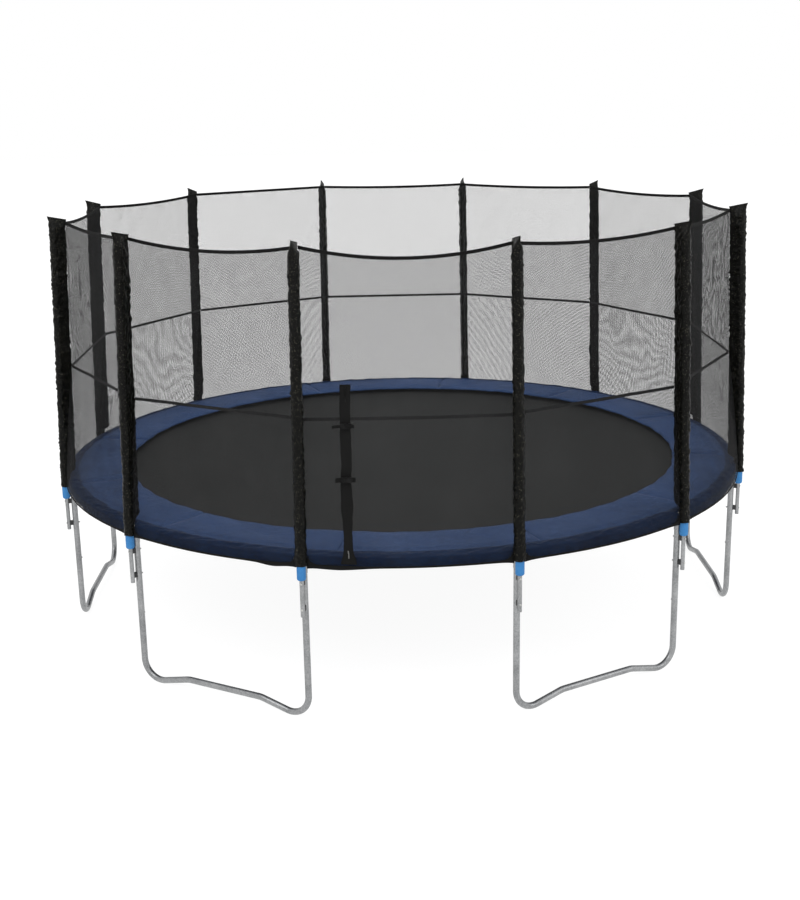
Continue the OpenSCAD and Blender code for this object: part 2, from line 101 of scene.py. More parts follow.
RING_R, TUBE_R = 2.267, 0.019
mat_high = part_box("jump_mat")[1]
MAT_R, MAT_Z = mat_high.x, mat_high.z
pad_low, pad_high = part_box("safety_pad")
PAD_TOP, SKIRT_LOW = pad_high.z, pad_low.z
PAD_IN, PAD_OUT = 1.869, 2.2876
NET_TOP, CREST_TOP = 2.659, 2.672
BELT_Z = 1.738
POLE_R, POLE_TUBE_R = 2.3125, 0.0125
BEND_Z, BEND_R, LEAN = 0.905, 0.3, math.radians(2.13)
SLEEVE_R, FLAP = 0.029, 0.07


def pole_angle(pole):
    return FIRST_POLE + STEP * pole


def around(radius, angle):
    """Points at a radius and at angles in degrees, counted from -Y towards +X."""
    turn = np.radians(angle)
    return np.stack([radius * np.sin(turn), -radius * np.cos(turn)], -1)


def turned(points, angle):
    """Points drawn on +X, pointing outwards, turned to an angle round the ring."""
    turn = math.radians(angle - 90)
    x, y, z = np.moveaxis(np.asarray(points, float), -1, 0)
    return np.stack([x * math.cos(turn) - y * math.sin(turn),
                     x * math.sin(turn) + y * math.cos(turn), z], -1)


def leaning(points):
    """Points round an upright pole at the origin, moved to the leaning part of a pole on +X."""
    x, y, z = np.moveaxis(np.asarray(points, float), -1, 0)
    x = x + BEND_R
    return np.stack([POLE_R - BEND_R + x * math.cos(LEAN) - z * math.sin(LEAN), y,
                     BEND_Z + x * math.sin(LEAN) + z * math.cos(LEAN)], -1)


def pole_radius(height):
    return POLE_R - (height - BEND_Z) * math.tan(LEAN)


def smooth(t):
    t = np.clip(t, 0, 1)
    return t * t * (3 - 2 * t)


print("mat", round(MAT_R, 3), "at", round(MAT_Z, 3), "and pad top at", round(PAD_TOP, 3))

# %% [markdown]
# ## Shader maths as Python sums
# A material is a small program made of nodes. Wiring Math nodes by hand hides the sum
# behind the plumbing, so a socket is wrapped in a class that knows +, -, * and /, and a
# sum of such values adds the nodes for us. Everything that isn't a sum comes from node().

# %% A shader that can be written as sums
class Value:
    """A shader socket that takes part in Python sums. Each operator adds a Math node."""

    def __init__(self, shader, socket):
        self.shader, self.socket = shader, socket

    def _math(self, operation, first, second=None):
        values = {0: first} if second is None else {0: first, 1: second}
        return self.shader.node("ShaderNodeMath", {"operation": operation}, values)

    def __add__(self, other):
        return self._math("ADD", self, other)

    def __sub__(self, other):
        return self._math("SUBTRACT", self, other)

    def __mul__(self, other):
        return self._math("MULTIPLY", self, other)

    def __truediv__(self, other):
        return self._math("DIVIDE", self, other)

    def __rsub__(self, other):
        return self._math("SUBTRACT", other, self)

    __radd__, __rmul__ = __add__, __mul__

    def wave(self):
        return self._math("SINE", self)

    def part(self):
        """The part after the decimal point: 0 to 1, over and over."""
        return self._math("FRACT", self)

    def size(self):
        return self._math("ABSOLUTE", self)

    def at_least(self, other):
        return self._math("MAXIMUM", self, other)

    def at_most(self, other):
        return self._math("MINIMUM", self, other)


print("values know", [name for name in vars(Value) if not name.startswith("_")])

# %% [markdown]
# ## The nodes that every finish needs
# A finish here is a colour that wanders between a dark and a light tone, a roughness, and a
# bump. So the second class keeps a material with its node tree, and has one short method
# each for noise, for a ramp, for a mix of two colours and for a bump.

# %% A material and its usual nodes
class Shader:
    """A material, its node tree and the few nodes that every finish here needs."""

    def __init__(self, name):
        self.material = bpy.data.materials.new(name)
        self.material.use_nodes = True
        self.tree = self.material.node_tree
        self.tree.nodes.clear()
        self.place = self.node("ShaderNodeTexCoord", out="Object")

    def node(self, kind, settings=None, values=None, out=0):
        made = self.tree.nodes.new(kind)
        for key, value in (settings or {}).items():
            if key == "stops":
                made.color_ramp.elements[0].position, made.color_ramp.elements[1].position = value
            else:
                setattr(made, key, value)
        for key, value in (values or {}).items():
            if isinstance(value, Value):
                self.tree.links.new(value.socket, made.inputs[key])
            else:
                made.inputs[key].default_value = value
        return Value(self, made.outputs[out])

    def cloth_place(self):
        """The piece's own map in metres, as two numbers."""
        there = self.node("ShaderNodeUVMap", {"uv_map": "metres"})
        return [self.node("ShaderNodeSeparateXYZ", values={0: there}, out=i) for i in (0, 1)]

    def noise(self, scale, detail=2.0, place=None, rough=0.5):
        values = {"Vector": place or self.place, "Scale": scale, "Detail": detail,
                  "Roughness": rough}
        return self.node("ShaderNodeTexNoise", values=values)

    def stretched(self, x, y, z):
        return self.node("ShaderNodeMapping", values={"Vector": self.place, "Scale": (x, y, z)})

    def ramp(self, value, low, high):
        return self.node("ShaderNodeValToRGB", {"stops": (low, high)}, {0: value})

    def mix(self, share, first, second):
        """A colour between two, by a share from 0 to 1."""
        colours = {6: (*first, 1) if isinstance(first, tuple) else first,
                   7: (*second, 1) if isinstance(second, tuple) else second}
        return self.node("ShaderNodeMix", {"data_type": "RGBA"}, {0: share, **colours}, 2)

    def bump(self, height, distance, strength=1.0, under=None):
        values = {"Height": height, "Distance": distance, "Strength": strength}
        if under:
            values["Normal"] = under
        return self.node("ShaderNodeBump", values=values)

    def finish(self, **sockets):
        values = {name.replace("_", " ").title().replace("Ior", "IOR"): value
                  for name, value in sockets.items()}
        body = self.node("ShaderNodeBsdfPrincipled", values=values)
        last = self.tree.nodes.new("ShaderNodeOutputMaterial")
        self.tree.links.new(body.socket, last.inputs["Surface"])
        return self.material


print("shader helpers are ready")

# %% [markdown]
# ## Steel
# The tubes are galvanised: steel dipped in zinc, which freezes in dull grey flakes. A
# Voronoi texture gives the flakes and two noises give the cloudy bloom and the scratches
# of handling. The zinc is only part metallic here, because weathered zinc has a chalky skin.

# %% Mix the metals
def zinc(name, dark, light, roughness, metallic):
    shader = Shader(name)
    flakes = shader.node("ShaderNodeTexVoronoi", values={"Vector": shader.place, "Scale": 140.0},
                         out="Color")
    cloud = shader.noise(9.0, 4.0)
    scratch = shader.noise(1.0, 3.0, shader.stretched(260, 260, 14))
    tone = shader.ramp(cloud * 0.7 + flakes * 0.3, 0.3, 0.75)
    height = scratch * 0.6 + flakes * 0.4
    return shader.finish(
        base_color=shader.mix(tone, dark, light), metallic=metallic,
        roughness=roughness + cloud * 0.18 + scratch * 0.08 - 0.12,
        normal=shader.bump(height, 0.00012, 0.5))


galvanised = zinc("galvanised", (0.2, 0.205, 0.21), (0.375, 0.38, 0.385), 0.36, 0.82)
bright_zinc = zinc("bright_zinc", (0.36, 0.36, 0.35), (0.6, 0.6, 0.58), 0.34, 0.85)
slider_zinc = zinc("slider_zinc", (0.1, 0.1, 0.1), (0.2, 0.2, 0.195), 0.4, 0.85)
spring_steel = zinc("spring_steel", (0.3, 0.3, 0.29), (0.5, 0.5, 0.48), 0.36, 0.85)
print("metals:", galvanised.name, bright_zinc.name, spring_steel.name)

# %% [markdown]
# ## Plastic and foam
# Moulded plastic has a fine skin texture. Polyethylene foam is a mass of small closed cells, which
# a Voronoi texture shows as tiny cushions, with painted shade in the darker seams between them.

# %% Mix the plastics and the foam
def moulded(name, colour, roughness, grain, gloss=0.3):
    shader = Shader(name)
    skin = shader.noise(grain, 3.0)
    worn = shader.noise(30.0, 4.0)
    pale = tuple(c * 2.2 + 0.01 for c in colour)
    return shader.finish(
        base_color=shader.mix(shader.ramp(worn, 0.45, 0.85), colour, pale),
        roughness=roughness + worn * 0.15, specular_ior_level=gloss,
        normal=shader.bump(skin, 0.0002, 0.5))


black_plastic = moulded("black_plastic", (0.02, 0.02, 0.021), 0.42, 900.0)
buckle_plastic = moulded("buckle_plastic", (0.004, 0.004, 0.004), 0.36, 1400.0, 0.07)

shader = Shader("foam")
cells = shader.node("ShaderNodeTexVoronoi", values={"Vector": shader.place, "Scale": 620.0})
faded = shader.noise(14.0, 3.0)
foam_tone = shader.mix(shader.ramp(faded, 0.3, 0.75), (0.034, 0.19, 0.44), (0.064, 0.27, 0.55))
# Where the cells meet the blue turns darker, following the hollows of the bump: painted shade
# between the cells.
foam = shader.finish(
    base_color=shader.mix(shader.ramp(cells, 0.25, 0.75), foam_tone, (0.022, 0.13, 0.35)),
    roughness=0.62 + cells * 0.2, specular_ior_level=0.3,
    normal=shader.bump(cells * -1.0, 0.0005, 0.6))
print("plastics and foam are mixed")

# %% [markdown]
# ## Woven finishes
# Webbing, the mat and the sleeves are woven, so their pattern follows the cloth. Each cloth piece
# carries a map in metres, and two crossed waves on that map make a plain weave, with painted shade
# in its hollows. The mat is woven of flat black tape, and the sleeves of thin shiny nylon, whose
# pale flecks are painted glints.

# %% Mix the woven finishes
def weave(shader, pitch):
    """Height of a plain weave, 0 to 1, with threads pitch metres apart."""
    across, along = shader.cloth_place()
    turn = math.pi / pitch
    warp, weft = (across * turn).wave(), (along * turn).wave()
    return warp * weft * 0.5 + 0.5


def cloth(name, dark, light, roughness, pitch, relief, gloss, crumple=0.0003, painted_glints=None):
    shader = Shader(name)
    threads = weave(shader, pitch)
    shade = shader.noise(5.0, 4.0)
    dust = shader.noise(45.0, 3.0)
    tone = shader.mix(shader.ramp(shade * 0.6 + dust * 0.4, 0.35, 0.7), dark, light)
    # Pale flecks on a fine noise stand for the glints of shiny nylon on its puckers: painted
    # highlights.
    if painted_glints:
        tone = shader.mix(shader.ramp(shader.noise(130.0, 2.0), 0.6, 0.7), tone, painted_glints)
    # Where the weave is low the colour drops to a darker tone: painted shade in the hollows between
    # the threads.
    painted_weave_shade = tuple(c * 0.55 for c in dark)
    return shader.finish(
        base_color=shader.mix(threads, painted_weave_shade, tone),
        roughness=roughness + dust * 0.15, specular_ior_level=gloss,
        normal=shader.bump(threads, relief, 0.7, shader.bump(dust, crumple, 0.8)))


webbing = cloth("webbing", (0.005, 0.005, 0.005), (0.011, 0.011, 0.0105), 0.7, 0.0022, 0.0004,
                0.1)
belt_cloth = cloth("belt_cloth", (0.03, 0.03, 0.0305), (0.042, 0.042, 0.0425), 0.7, 0.0022,
                   0.0004, 0.15)
# The sleeves' last colour, a pale grey, is their painted glints.
sleeve_cloth = cloth("sleeve_cloth", (0.001, 0.0011, 0.0009), (0.0042, 0.0044, 0.0031), 0.3,
                     0.0011, 0.00015, 0.1, 0.006, (0.085, 0.081, 0.06))

shader = Shader("mat_cloth")
tape_weave = weave(shader, 0.0035)
across, along = shader.cloth_place()
strips = (across * (math.pi / 0.9)).wave().size()
tread = shader.noise(1.7, 5.0, rough=0.6)
fluff = shader.noise(160.0, 2.0)
mat_tone = shader.mix(shader.ramp(tread * 0.75 + fluff * 0.25, 0.3, 0.72),
                      (0.024, 0.0248, 0.0244), (0.038, 0.039, 0.0383))
# Where the weave is low, between the tapes, the colour is darker: painted shade in the weave's
# hollows.
mat_cloth = shader.finish(
    base_color=shader.mix(tape_weave, (0.014, 0.0146, 0.0143), mat_tone),
    roughness=0.6 + tread * 0.12 - shader.ramp(strips, 0.0, 0.06) * 0.03,
    specular_ior_level=0.06,
    normal=shader.bump(tape_weave, 0.0005, 0.6))
print("woven finishes are mixed")

# %% [markdown]
# ## The net
# Each panel is knitted in small diamonds. Modelling a million threads would be hopeless, so
# a panel is one smooth sheet, and the material makes it clear between the threads. Two sets
# of slanting lines on the sheet's map in metres cross to make the diamonds. The sheet has
# two sides half a millimetre apart, so it looks a little denser when you see it at a slant.

# %% Mix the net
MESH, DIAMOND = 0.0062, 1.35
THREAD = 0.205

shader = Shader("net_cloth")
across, along = shader.cloth_place()


def thread_lines(place):
    """1 on a thread and 0 between, with soft edges."""
    return ((place.part() - 0.5).size() * 2 - (1 - THREAD)) * 9 + 0.5


rising = thread_lines(across / MESH + along / (MESH * DIAMOND))
falling = thread_lines(across / MESH - along / (MESH * DIAMOND))
threads = rising.at_least(falling).at_least(0.0).at_most(1.0)
lint = shader.noise(3.5, 3.0)
net_cloth = shader.finish(
    base_color=shader.mix(shader.ramp(lint, 0.35, 0.7),
                          (0.009, 0.009, 0.0095), (0.016, 0.016, 0.0165)),
    roughness=0.75, specular_ior_level=0.1, alpha=threads)
print("the net's diamonds are", MESH * 1000, "mm wide")

# %% [markdown]
# ## The pad's covers
# The top of the pad is blue coated cloth: woven tape under a thin shiny film. The film creases, so
# a stretched noise adds soft creases on top of the weave, and dust dulls the gloss in places. Half
# of the cover's tone follows the crease noise, lighter on the ridges and darker in the hollows,
# which is painted light and shade. The skirt below is the same cloth in a darker navy, which is
# painted shade for its hanging side.

# %% Mix the coated cloth
def coated(name, dark, light, roughness, gloss):
    shader = Shader(name)
    under = shader.node("ShaderNodeTexBrick", {"offset": 0.5}, {
        "Vector": shader.place, "Scale": 1.0, "Mortar Size": 0.0003, "Brick Width": 0.004,
        "Row Height": 0.002}, out="Fac")
    creases = shader.noise(26.0, 5.0, rough=0.62)
    dust = shader.noise(6.0, 5.0)
    cloud = shader.noise(2.1, 3.0)
    # Half of this tone follows the crease noise that is also the bump: painted light on the
    # creases' ridges and painted shade in their hollows; the cloud half is random tone.
    tone = shader.mix(shader.ramp(cloud * 0.5 + creases * 0.5, 0.32, 0.7), dark, light)
    grey = tuple(c * 0.7 + 0.012 for c in light)
    soft = shader.bump(creases, 0.008, 0.55)
    return shader.finish(
        base_color=shader.mix(shader.ramp(dust, 0.55, 0.95) * 0.25, tone, grey),
        roughness=roughness + dust * 0.2 + creases * 0.1 - 0.12, specular_ior_level=gloss,
        normal=shader.bump(under, 0.0002, 0.5, soft))


pad_cloth = coated("pad_cloth", (0.02, 0.046, 0.12), (0.046, 0.086, 0.205), 0.48, 0.06)
# The skirt's darker navy is painted shade, for the shade that falls on its hanging side.
skirt_cloth_painted_shade = coated("skirt_cloth_painted_shade", (0.002, 0.01, 0.04), (0.0075, 0.03, 0.092), 0.36, 0.04)

shader = Shader("stitch_thread")
stitch_thread = shader.finish(roughness=0.7, base_color=shader.mix(
    shader.noise(900.0, 2.0), (0.02, 0.025, 0.045), (0.07, 0.08, 0.11)))
print("coated cloth:", pad_cloth.name, skirt_cloth_painted_shade.name)

# %% [markdown]
# ## Building a mesh from rows of points
# Most cloth here is a grid of points, row by row. One function turns a grid into a closed
# sheet with a real thickness: the front, the back, and a strip round the edge. It also
# writes the map in metres that the weaves need. Signed volume tells if it is inside out.

# %% Helpers for meshes
EDGE_ANGLE = 65
SEED_SHIFT = 17.3


def link(name, mesh, material):
    mesh.materials.clear()
    mesh.materials.append(material)
    piece = bpy.data.objects.new(name, mesh)
    bpy.context.collection.objects.link(piece)
    return piece


def mesh_of(name, points, faces, place=None, sharp=False):
    """A mesh from points and faces, turned outwards, with a map in metres if place is given."""
    points, faces = np.asarray(points, float), np.asarray(faces)
    fans = [faces[:, [0, k, k + 1]] for k in range(1, faces.shape[1] - 1)]
    volume = sum(np.einsum("ij,ij->", points[f[:, 0]], np.cross(points[f[:, 1]], points[f[:, 2]]))
                 for f in fans)
    if volume < 0:
        faces = faces[:, ::-1]
    mesh = bpy.data.meshes.new(name)
    mesh.from_pydata(points.tolist(), [], faces.tolist())
    if not sharp:
        mesh.shade_smooth()
        mesh.set_sharp_from_angle(angle=math.radians(EDGE_ANGLE))
    if place is not None:
        layer = mesh.uv_layers.new(name="metres")
        layer.data.foreach_set("uv", np.asarray(place, np.float32)[faces.ravel()].ravel())
    return mesh


print("a point map is kept under the name metres")

# %% [markdown]
# ## Closed sheets
# A sheet needs the faces of its grid, the direction that its front looks, and the same grid
# again a little way along that direction for its back. A strip round the edge closes it. A
# tube of cloth is a grid whose last column joins its first.

# %% Turn rows of points into closed sheets
def grid_faces(rows, columns, closed=False, start=0):
    """Four-sided faces over a grid of points. A closed grid joins its last column to its first."""
    r, c = np.meshgrid(np.arange(rows - 1), np.arange(columns if closed else columns - 1),
                       indexing="ij")
    after = (c + 1) % columns
    corners = [r * columns + c, r * columns + after, (r + 1) * columns + after,
               (r + 1) * columns + c]
    return np.stack(corners, -1).reshape(-1, 4) + start


def outward(grid, closed=False):
    """Unit normals of a grid of points."""
    if closed:
        across = np.roll(grid, -1, 1) - np.roll(grid, 1, 1)
    else:
        across = np.gradient(grid, axis=1)
    normal = np.cross(across, np.gradient(grid, axis=0))
    return normal / np.maximum(np.linalg.norm(normal, axis=-1, keepdims=True), 1e-12)


def two_sided(name, grid, other, place=None, closed=False):
    """A closed mesh between two grids of the same size, with a strip round the edge."""
    rows, columns = grid.shape[:2]
    count = rows * columns
    front = grid_faces(rows, columns, closed)
    back = grid_faces(rows, columns, closed, count)[:, ::-1]
    index = np.arange(count).reshape(rows, columns)
    loops = [index[0], index[-1][::-1]]
    if closed:
        loops = [np.append(loop, loop[0]) for loop in loops]
    else:
        loops += [index[::-1, 0], index[:, -1]]
    rim = np.concatenate([np.stack([a[1:], a[:-1], a[:-1] + count, a[1:] + count], -1)
                          for a in loops])
    points = np.concatenate([grid.reshape(-1, 3), other.reshape(-1, 3)])
    if place is not None:
        place = np.tile(np.asarray(place, float).reshape(-1, 2), (2, 1))
    return mesh_of(name, points, np.concatenate([front, back, rim]), place)


def sheet_mesh(name, grid, place, thickness, closed=False):
    """A closed sheet on a grid of points, which grows by a thickness along its normals."""
    return two_sided(name, grid, grid + outward(grid, closed) * thickness, place, closed)


print("sheets are closed at their edges")

# %% [markdown]
# ## Unevenness
# Nothing sewn is quite even. Blender's own noise gives smooth lumps that are the same in
# every run, and a seed moves the place where it is read, so that no two pieces are alike.
# belongs() puts each piece on the body it rides on, and hides the packed node it stands for.

# %% Noise for shapes, and what every piece says
def lumps(points, scale, seed):
    """Smooth noise, about -1 to 1, at each point of an array."""
    flat = np.asarray(points, float).reshape(-1, 3) * scale + seed * SEED_SHIFT
    return np.array([noise.noise(p) for p in flat.tolist()]).reshape(np.shape(points)[:-1])


def lumps_at(x, y, z, seed):
    """The same noise at points given by three arrays, or numbers, that stretch to one shape."""
    return lumps(np.stack(np.broadcast_arrays(x, y, z), -1), 1.0, seed)


def layered(points, *layers):
    """Noises of several scales on top of each other. A layer is (scale, seed, height)."""
    return sum(lumps(points, scale, seed) * height for scale, seed, height in layers)


def belongs(piece, body, stands_for=None):
    """Puts a piece on its body and in the place of a packed node."""
    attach(piece, body)
    if stands_for:
        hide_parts(stands_for)


print("the noise at one spot is", round(float(lumps([0.3, 0.2, 0.1], 1.0, 1)), 3))

# %% [markdown]
# ## Geometry Nodes for what repeats
# Springs, bolts and stitches repeat, so a small node tree copies them. The first tree sweeps
# a round wire along a line. The second sets copies round the ring: it makes points at the
# middle, puts the shape on each and turns each by its number times the step. The third sets
# copies along a straight line. All end in Realize Instances and Set Material.

# %% Start and end a tree
def new_tree(name, inputs):
    """An empty Geometry Nodes tree with named inputs, and its first and last nodes."""
    tree = bpy.data.node_groups.new(name, "GeometryNodeTree")
    tree.interface.new_socket("Geometry", in_out="INPUT", socket_type="NodeSocketGeometry")
    for label, kind in inputs:
        tree.interface.new_socket(label, in_out="INPUT", socket_type="NodeSocket" + kind)
    tree.interface.new_socket("Geometry", in_out="OUTPUT", socket_type="NodeSocketGeometry")
    return tree, tree.nodes.new("NodeGroupInput"), tree.nodes.new("NodeGroupOutput")


def add(tree, kind, links=None, **settings):
    made = tree.nodes.new(kind)
    for key, value in settings.items():
        setattr(made, key, value)
    for key, value in (links or {}).items():
        if hasattr(value, "is_linked"):
            tree.links.new(value, made.inputs[key])
        else:
            made.inputs[key].default_value = value
    return made


def end_tree(tree, last, geometry, given):
    real = add(tree, "GeometryNodeRealizeInstances", {0: geometry})
    painted = add(tree, "GeometryNodeSetMaterial",
                  {"Geometry": real.outputs[0], "Material": given.outputs["Material"]})
    tree.links.new(painted.outputs[0], last.inputs[0])
    return tree


print("a tree ends in one mesh with one material")

# %% [markdown]
# ## The three trees
# Each tree has named inputs for its sizes, so that the same tree makes the springs' wire and
# the triangles', or ninety-six loops and a thousand stitches.

# %% Build the trees
def copies(tree, last, given, spots, **turned_by):
    """The end of a tree that sets its Shape on points."""
    shape = add(tree, "GeometryNodeObjectInfo", {"Object": given.outputs["Shape"]})
    placed = add(tree, "GeometryNodeInstanceOnPoints", {
        "Points": spots.outputs[0], "Instance": shape.outputs["Geometry"], **turned_by})
    return end_tree(tree, last, placed.outputs[0], given)


def wire_tree():
    tree, given, last = new_tree("sweep a wire", [
        ("Radius", "Float"), ("Sides", "Int"), ("Material", "Material")])
    ring = add(tree, "GeometryNodeCurvePrimitiveCircle",
               {"Resolution": given.outputs["Sides"], "Radius": given.outputs["Radius"]})
    swept = add(tree, "GeometryNodeCurveToMesh", {
        "Curve": given.outputs["Geometry"], "Profile Curve": ring.outputs[0], "Fill Caps": True})
    return end_tree(tree, last, swept.outputs[0], given)


def ring_tree():
    tree, given, last = new_tree("copies round the ring", [
        ("Shape", "Object"), ("Count", "Int"), ("First", "Float"), ("Step", "Float"),
        ("Material", "Material")])
    spots = add(tree, "GeometryNodePoints", {"Count": given.outputs["Count"]})
    number = add(tree, "GeometryNodeInputIndex")
    share = add(tree, "ShaderNodeMath", {0: number.outputs[0], 1: given.outputs["Step"]},
                operation="MULTIPLY")
    angle = add(tree, "ShaderNodeMath", {0: share.outputs[0], 1: given.outputs["First"]},
                operation="ADD")
    turn = add(tree, "ShaderNodeCombineXYZ", {"Z": angle.outputs[0]})
    return copies(tree, last, given, spots, Rotation=turn.outputs[0])


def line_tree():
    tree, given, last = new_tree("copies along a line", [
        ("Shape", "Object"), ("Count", "Int"), ("Start", "Vector"), ("Offset", "Vector"),
        ("Material", "Material")])
    spots = add(tree, "GeometryNodeMeshLine", {
        "Count": given.outputs["Count"], "Start Location": given.outputs["Start"],
        "Offset": given.outputs["Offset"]})
    return copies(tree, last, given, spots)


WIRE, RING, LINE = wire_tree(), ring_tree(), line_tree()
print("trees:", WIRE.name, "/", RING.name, "/", LINE.name)

# %% [markdown]
# ## From a tree to a plain mesh
# The tree runs as a modifier on a holder object. An input is set by its identifier, because
# names may repeat. We then take the finished mesh, link it as a piece and drop the holder.

# %% Grow shapes from the trees
def grown(name, tree, holder, **inputs):
    """The mesh that a tree makes for these inputs, as a plain object."""
    modifier = holder.modifiers.new("nodes", "NODES")
    modifier.node_group = tree
    for item in tree.interface.items_tree:
        key = item.name.lower()
        if item.in_out == "INPUT" and key in inputs:
            modifier[item.identifier] = inputs[key]
    holder.update_tag()
    evaluated = holder.evaluated_get(bpy.context.evaluated_depsgraph_get())
    mesh = bpy.data.meshes.new_from_object(evaluated)
    mesh.name = name
    bpy.data.objects.remove(holder)
    return link(name, mesh, inputs["material"])


def holder_of(data):
    holder = bpy.data.objects.new("holder", data)
    bpy.context.collection.objects.link(holder)
    return holder


def wire(name, points, radius, material, sides=6):
    """A round wire along a line of points."""
    curve = bpy.data.curves.new(name, "CURVE")
    curve.dimensions = "3D"
    spline = curve.splines.new("POLY")
    spline.points.add(len(points) - 1)
    spline.points.foreach_set("co", [v for p in points for v in (*p, 1)])
    piece = grown(name, WIRE, holder_of(curve), radius=radius, sides=sides, material=material)
    piece.data.shade_smooth()
    return piece


def round_ring(name, shape, count, first, step, material, used_up=True):
    """Copies of a shape drawn on +X, from an angle round the ring, a step apart."""
    made = grown(name, RING, holder_of(bpy.data.meshes.new(name)), shape=shape, count=count,
                 first=math.radians(first - 90), step=math.radians(step), material=material)
    if used_up:
        bpy.data.objects.remove(shape)
    return made


def in_line(name, shape, count, start, offset, material):
    made = grown(name, LINE, holder_of(bpy.data.meshes.new(name)), shape=shape, count=count,
                 start=start, offset=offset, material=material)
    bpy.data.objects.remove(shape)
    return made


def joined(name, parts, material):
    """One mesh made of several, which are used up."""
    points, faces, base = [], [], 0
    for part in parts:
        points += [v.co[:] for v in part.data.vertices]
        faces += [tuple(base + k for k in f.vertices) for f in part.data.polygons]
        base = len(points)
        bpy.data.objects.remove(part)
    mesh = bpy.data.meshes.new(name)
    mesh.from_pydata(points, [], faces)
    mesh.shade_smooth()
    return link(name, mesh, material)


def flat_shaded(piece):
    piece.data.shade_flat()
    return piece


print("shapes can be grown along a wire, round the ring and in a line")

# %% [markdown]
# ## The steel frame and the poles
# Twelve rails, twelve uprights and six bent bases are tubes with the right shape already,
# so they stay and only take the galvanised finish. The same goes for the poles, their caps
# and the spacers that hold each pole off its leg.

# %% Give the frame its finishes
FINISH_OF = {("rail_", "leg_upright_", "leg_base_", "lower_poles", "upper_poles"): galvanised,
             ("pole_caps", "pole_spacers"): black_plastic}

finished = 0
for name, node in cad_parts.items():
    for starts, material in FINISH_OF.items():
        if name.startswith(starts):
            node.data.materials.clear()
            node.data.materials.append(material)
            finished += 1
print(finished, "frame pieces took a finish")

# %% [markdown]
# ## Bolts, nuts and screws
# Each pole is held by two bolts through the pole, a spacer and the leg, and each base by one
# screw. A bolt head is a turned shape: we spin its outline. A nut is a six-sided prism with
# its corners rounded off by the same idea. One of each is made and the ring tree copies it.

# %% Turn the fasteners
def spun(name, outline, sides, x, z):
    """A solid spun round a line along X from (x, radius) pairs, closed at both ends."""
    turn = np.arange(sides) * 2 * math.pi / sides
    grid = np.array([[(x, r * math.cos(t), r * math.sin(t)) for t in turn] for x, r in outline])
    rows = len(outline)
    ends = np.array([(outline[0][0], 0, 0), (outline[-1][0], 0, 0)])
    points = np.concatenate([grid.reshape(-1, 3), ends]) + np.array((x, 0, z))
    mesh = bpy.data.meshes.new(name)
    low, high = rows * sides, rows * sides + 1
    after = [(k + 1) % sides for k in range(sides)]
    caps = [(low, after[k], k) for k in range(sides)]
    caps += [(high, (rows - 1) * sides + k, (rows - 1) * sides + after[k]) for k in range(sides)]
    mesh.from_pydata(points.tolist(), [], grid_faces(rows, sides, True).tolist() + caps)
    mesh.shade_smooth()
    return link(name, mesh, bright_zinc)


BOLT_Z = (0.68, 0.832)
SCREW_Z = 0.43
BOLT_R = 0.003
head_at = POLE_R + POLE_TUBE_R + 0.0003
leg_face = RING_R - TUBE_R

HEAD = [(0, 0.0045), (0, 0.0065), (0.0006, 0.00655), (0.0018, 0.0058), (0.003, 0.0042),
        (0.0037, 0.002)]
STEM = [(leg_face - 0.010, 0.0022), (leg_face - 0.0095, BOLT_R), (head_at + 0.001, BOLT_R)]
NUT = [(0, 0.0047), (0.0007, 0.0058), (0.0045, 0.0058), (0.0052, 0.0047)]
SCREW = [(-0.0042, 0.0035), (-0.0042, 0.0048), (-0.0034, 0.0058), (-0.0002, 0.006)]
SCREW_STEM = [(leg_face - 0.002, BOLT_R), (RING_R - 0.012, BOLT_R)]

bolt_parts, nut_parts = [], []
for z in BOLT_Z:
    bolt_parts += [spun("head", HEAD, 16, head_at, z), spun("stem", STEM, 10, 0, z)]
    nut_parts.append(spun("nut", NUT, 6, leg_face - 0.0056, z))
screw_parts = [spun("screw_head", SCREW, 14, leg_face - 0.0002, SCREW_Z),
               spun("screw_stem", SCREW_STEM, 8, 0, SCREW_Z)]

for name, parts, node in (("bolts", bolt_parts, "pole_bolts"), ("nuts", nut_parts, "pole_nuts"),
                          ("screws", screw_parts, "leg_screws")):
    one = joined("one", parts, bright_zinc)
    ringed = round_ring(name, one, POLES, FIRST_POLE, STEP, bright_zinc)
    if name == "nuts":
        flat_shaded(ringed)
    belongs(ringed, "frame", node)
    print(name, len(ringed.data.polygons), "faces")

# %% [markdown]
# ## The springs
# Ninety-six springs pull the mat tight. A spring is one wire: a hook over the rail's edge, a tight
# coil, and a hook into a steel ring on the mat. We draw the line that the wire follows and sweep
# it. When the mat goes down the springs stretch. They are made in groups of four.

# %% Wind the springs
COIL_OUT, COIL_IN, COIL_R, WIRE_R = 2.218, 2.1, 0.0074, 0.0016
SPRING_Z = 0.958
TURNS, TURN_POINTS = 26, 8

wound = TURNS * TURN_POINTS
coil = []
for k in range(wound + 1):
    turn = math.pi / 2 + 2 * math.pi * k / TURN_POINTS
    x = COIL_OUT + (COIL_IN - COIL_OUT) * k / wound
    coil.append((x, COIL_R * math.cos(turn), SPRING_Z + COIL_R * math.sin(turn)))
hook_out = [(2.2592, 0, 0.9628), (2.2549, 0, 0.9694), (2.2493, 0, 0.9722), (2.240, 0, 0.9702),
            (2.228, 0, 0.9664)]
hook_in = [(2.092, 0, 0.9654), (2.075, 0, 0.9654), (2.0668, 0, 0.964), (2.0638, 0, 0.960),
           (2.0640, 0, 0.9535), (2.0675, 0, 0.9505)]
spring_line = hook_out + coil + hook_in
one_spring = wire("one_spring", spring_line, WIRE_R, spring_steel, 4)

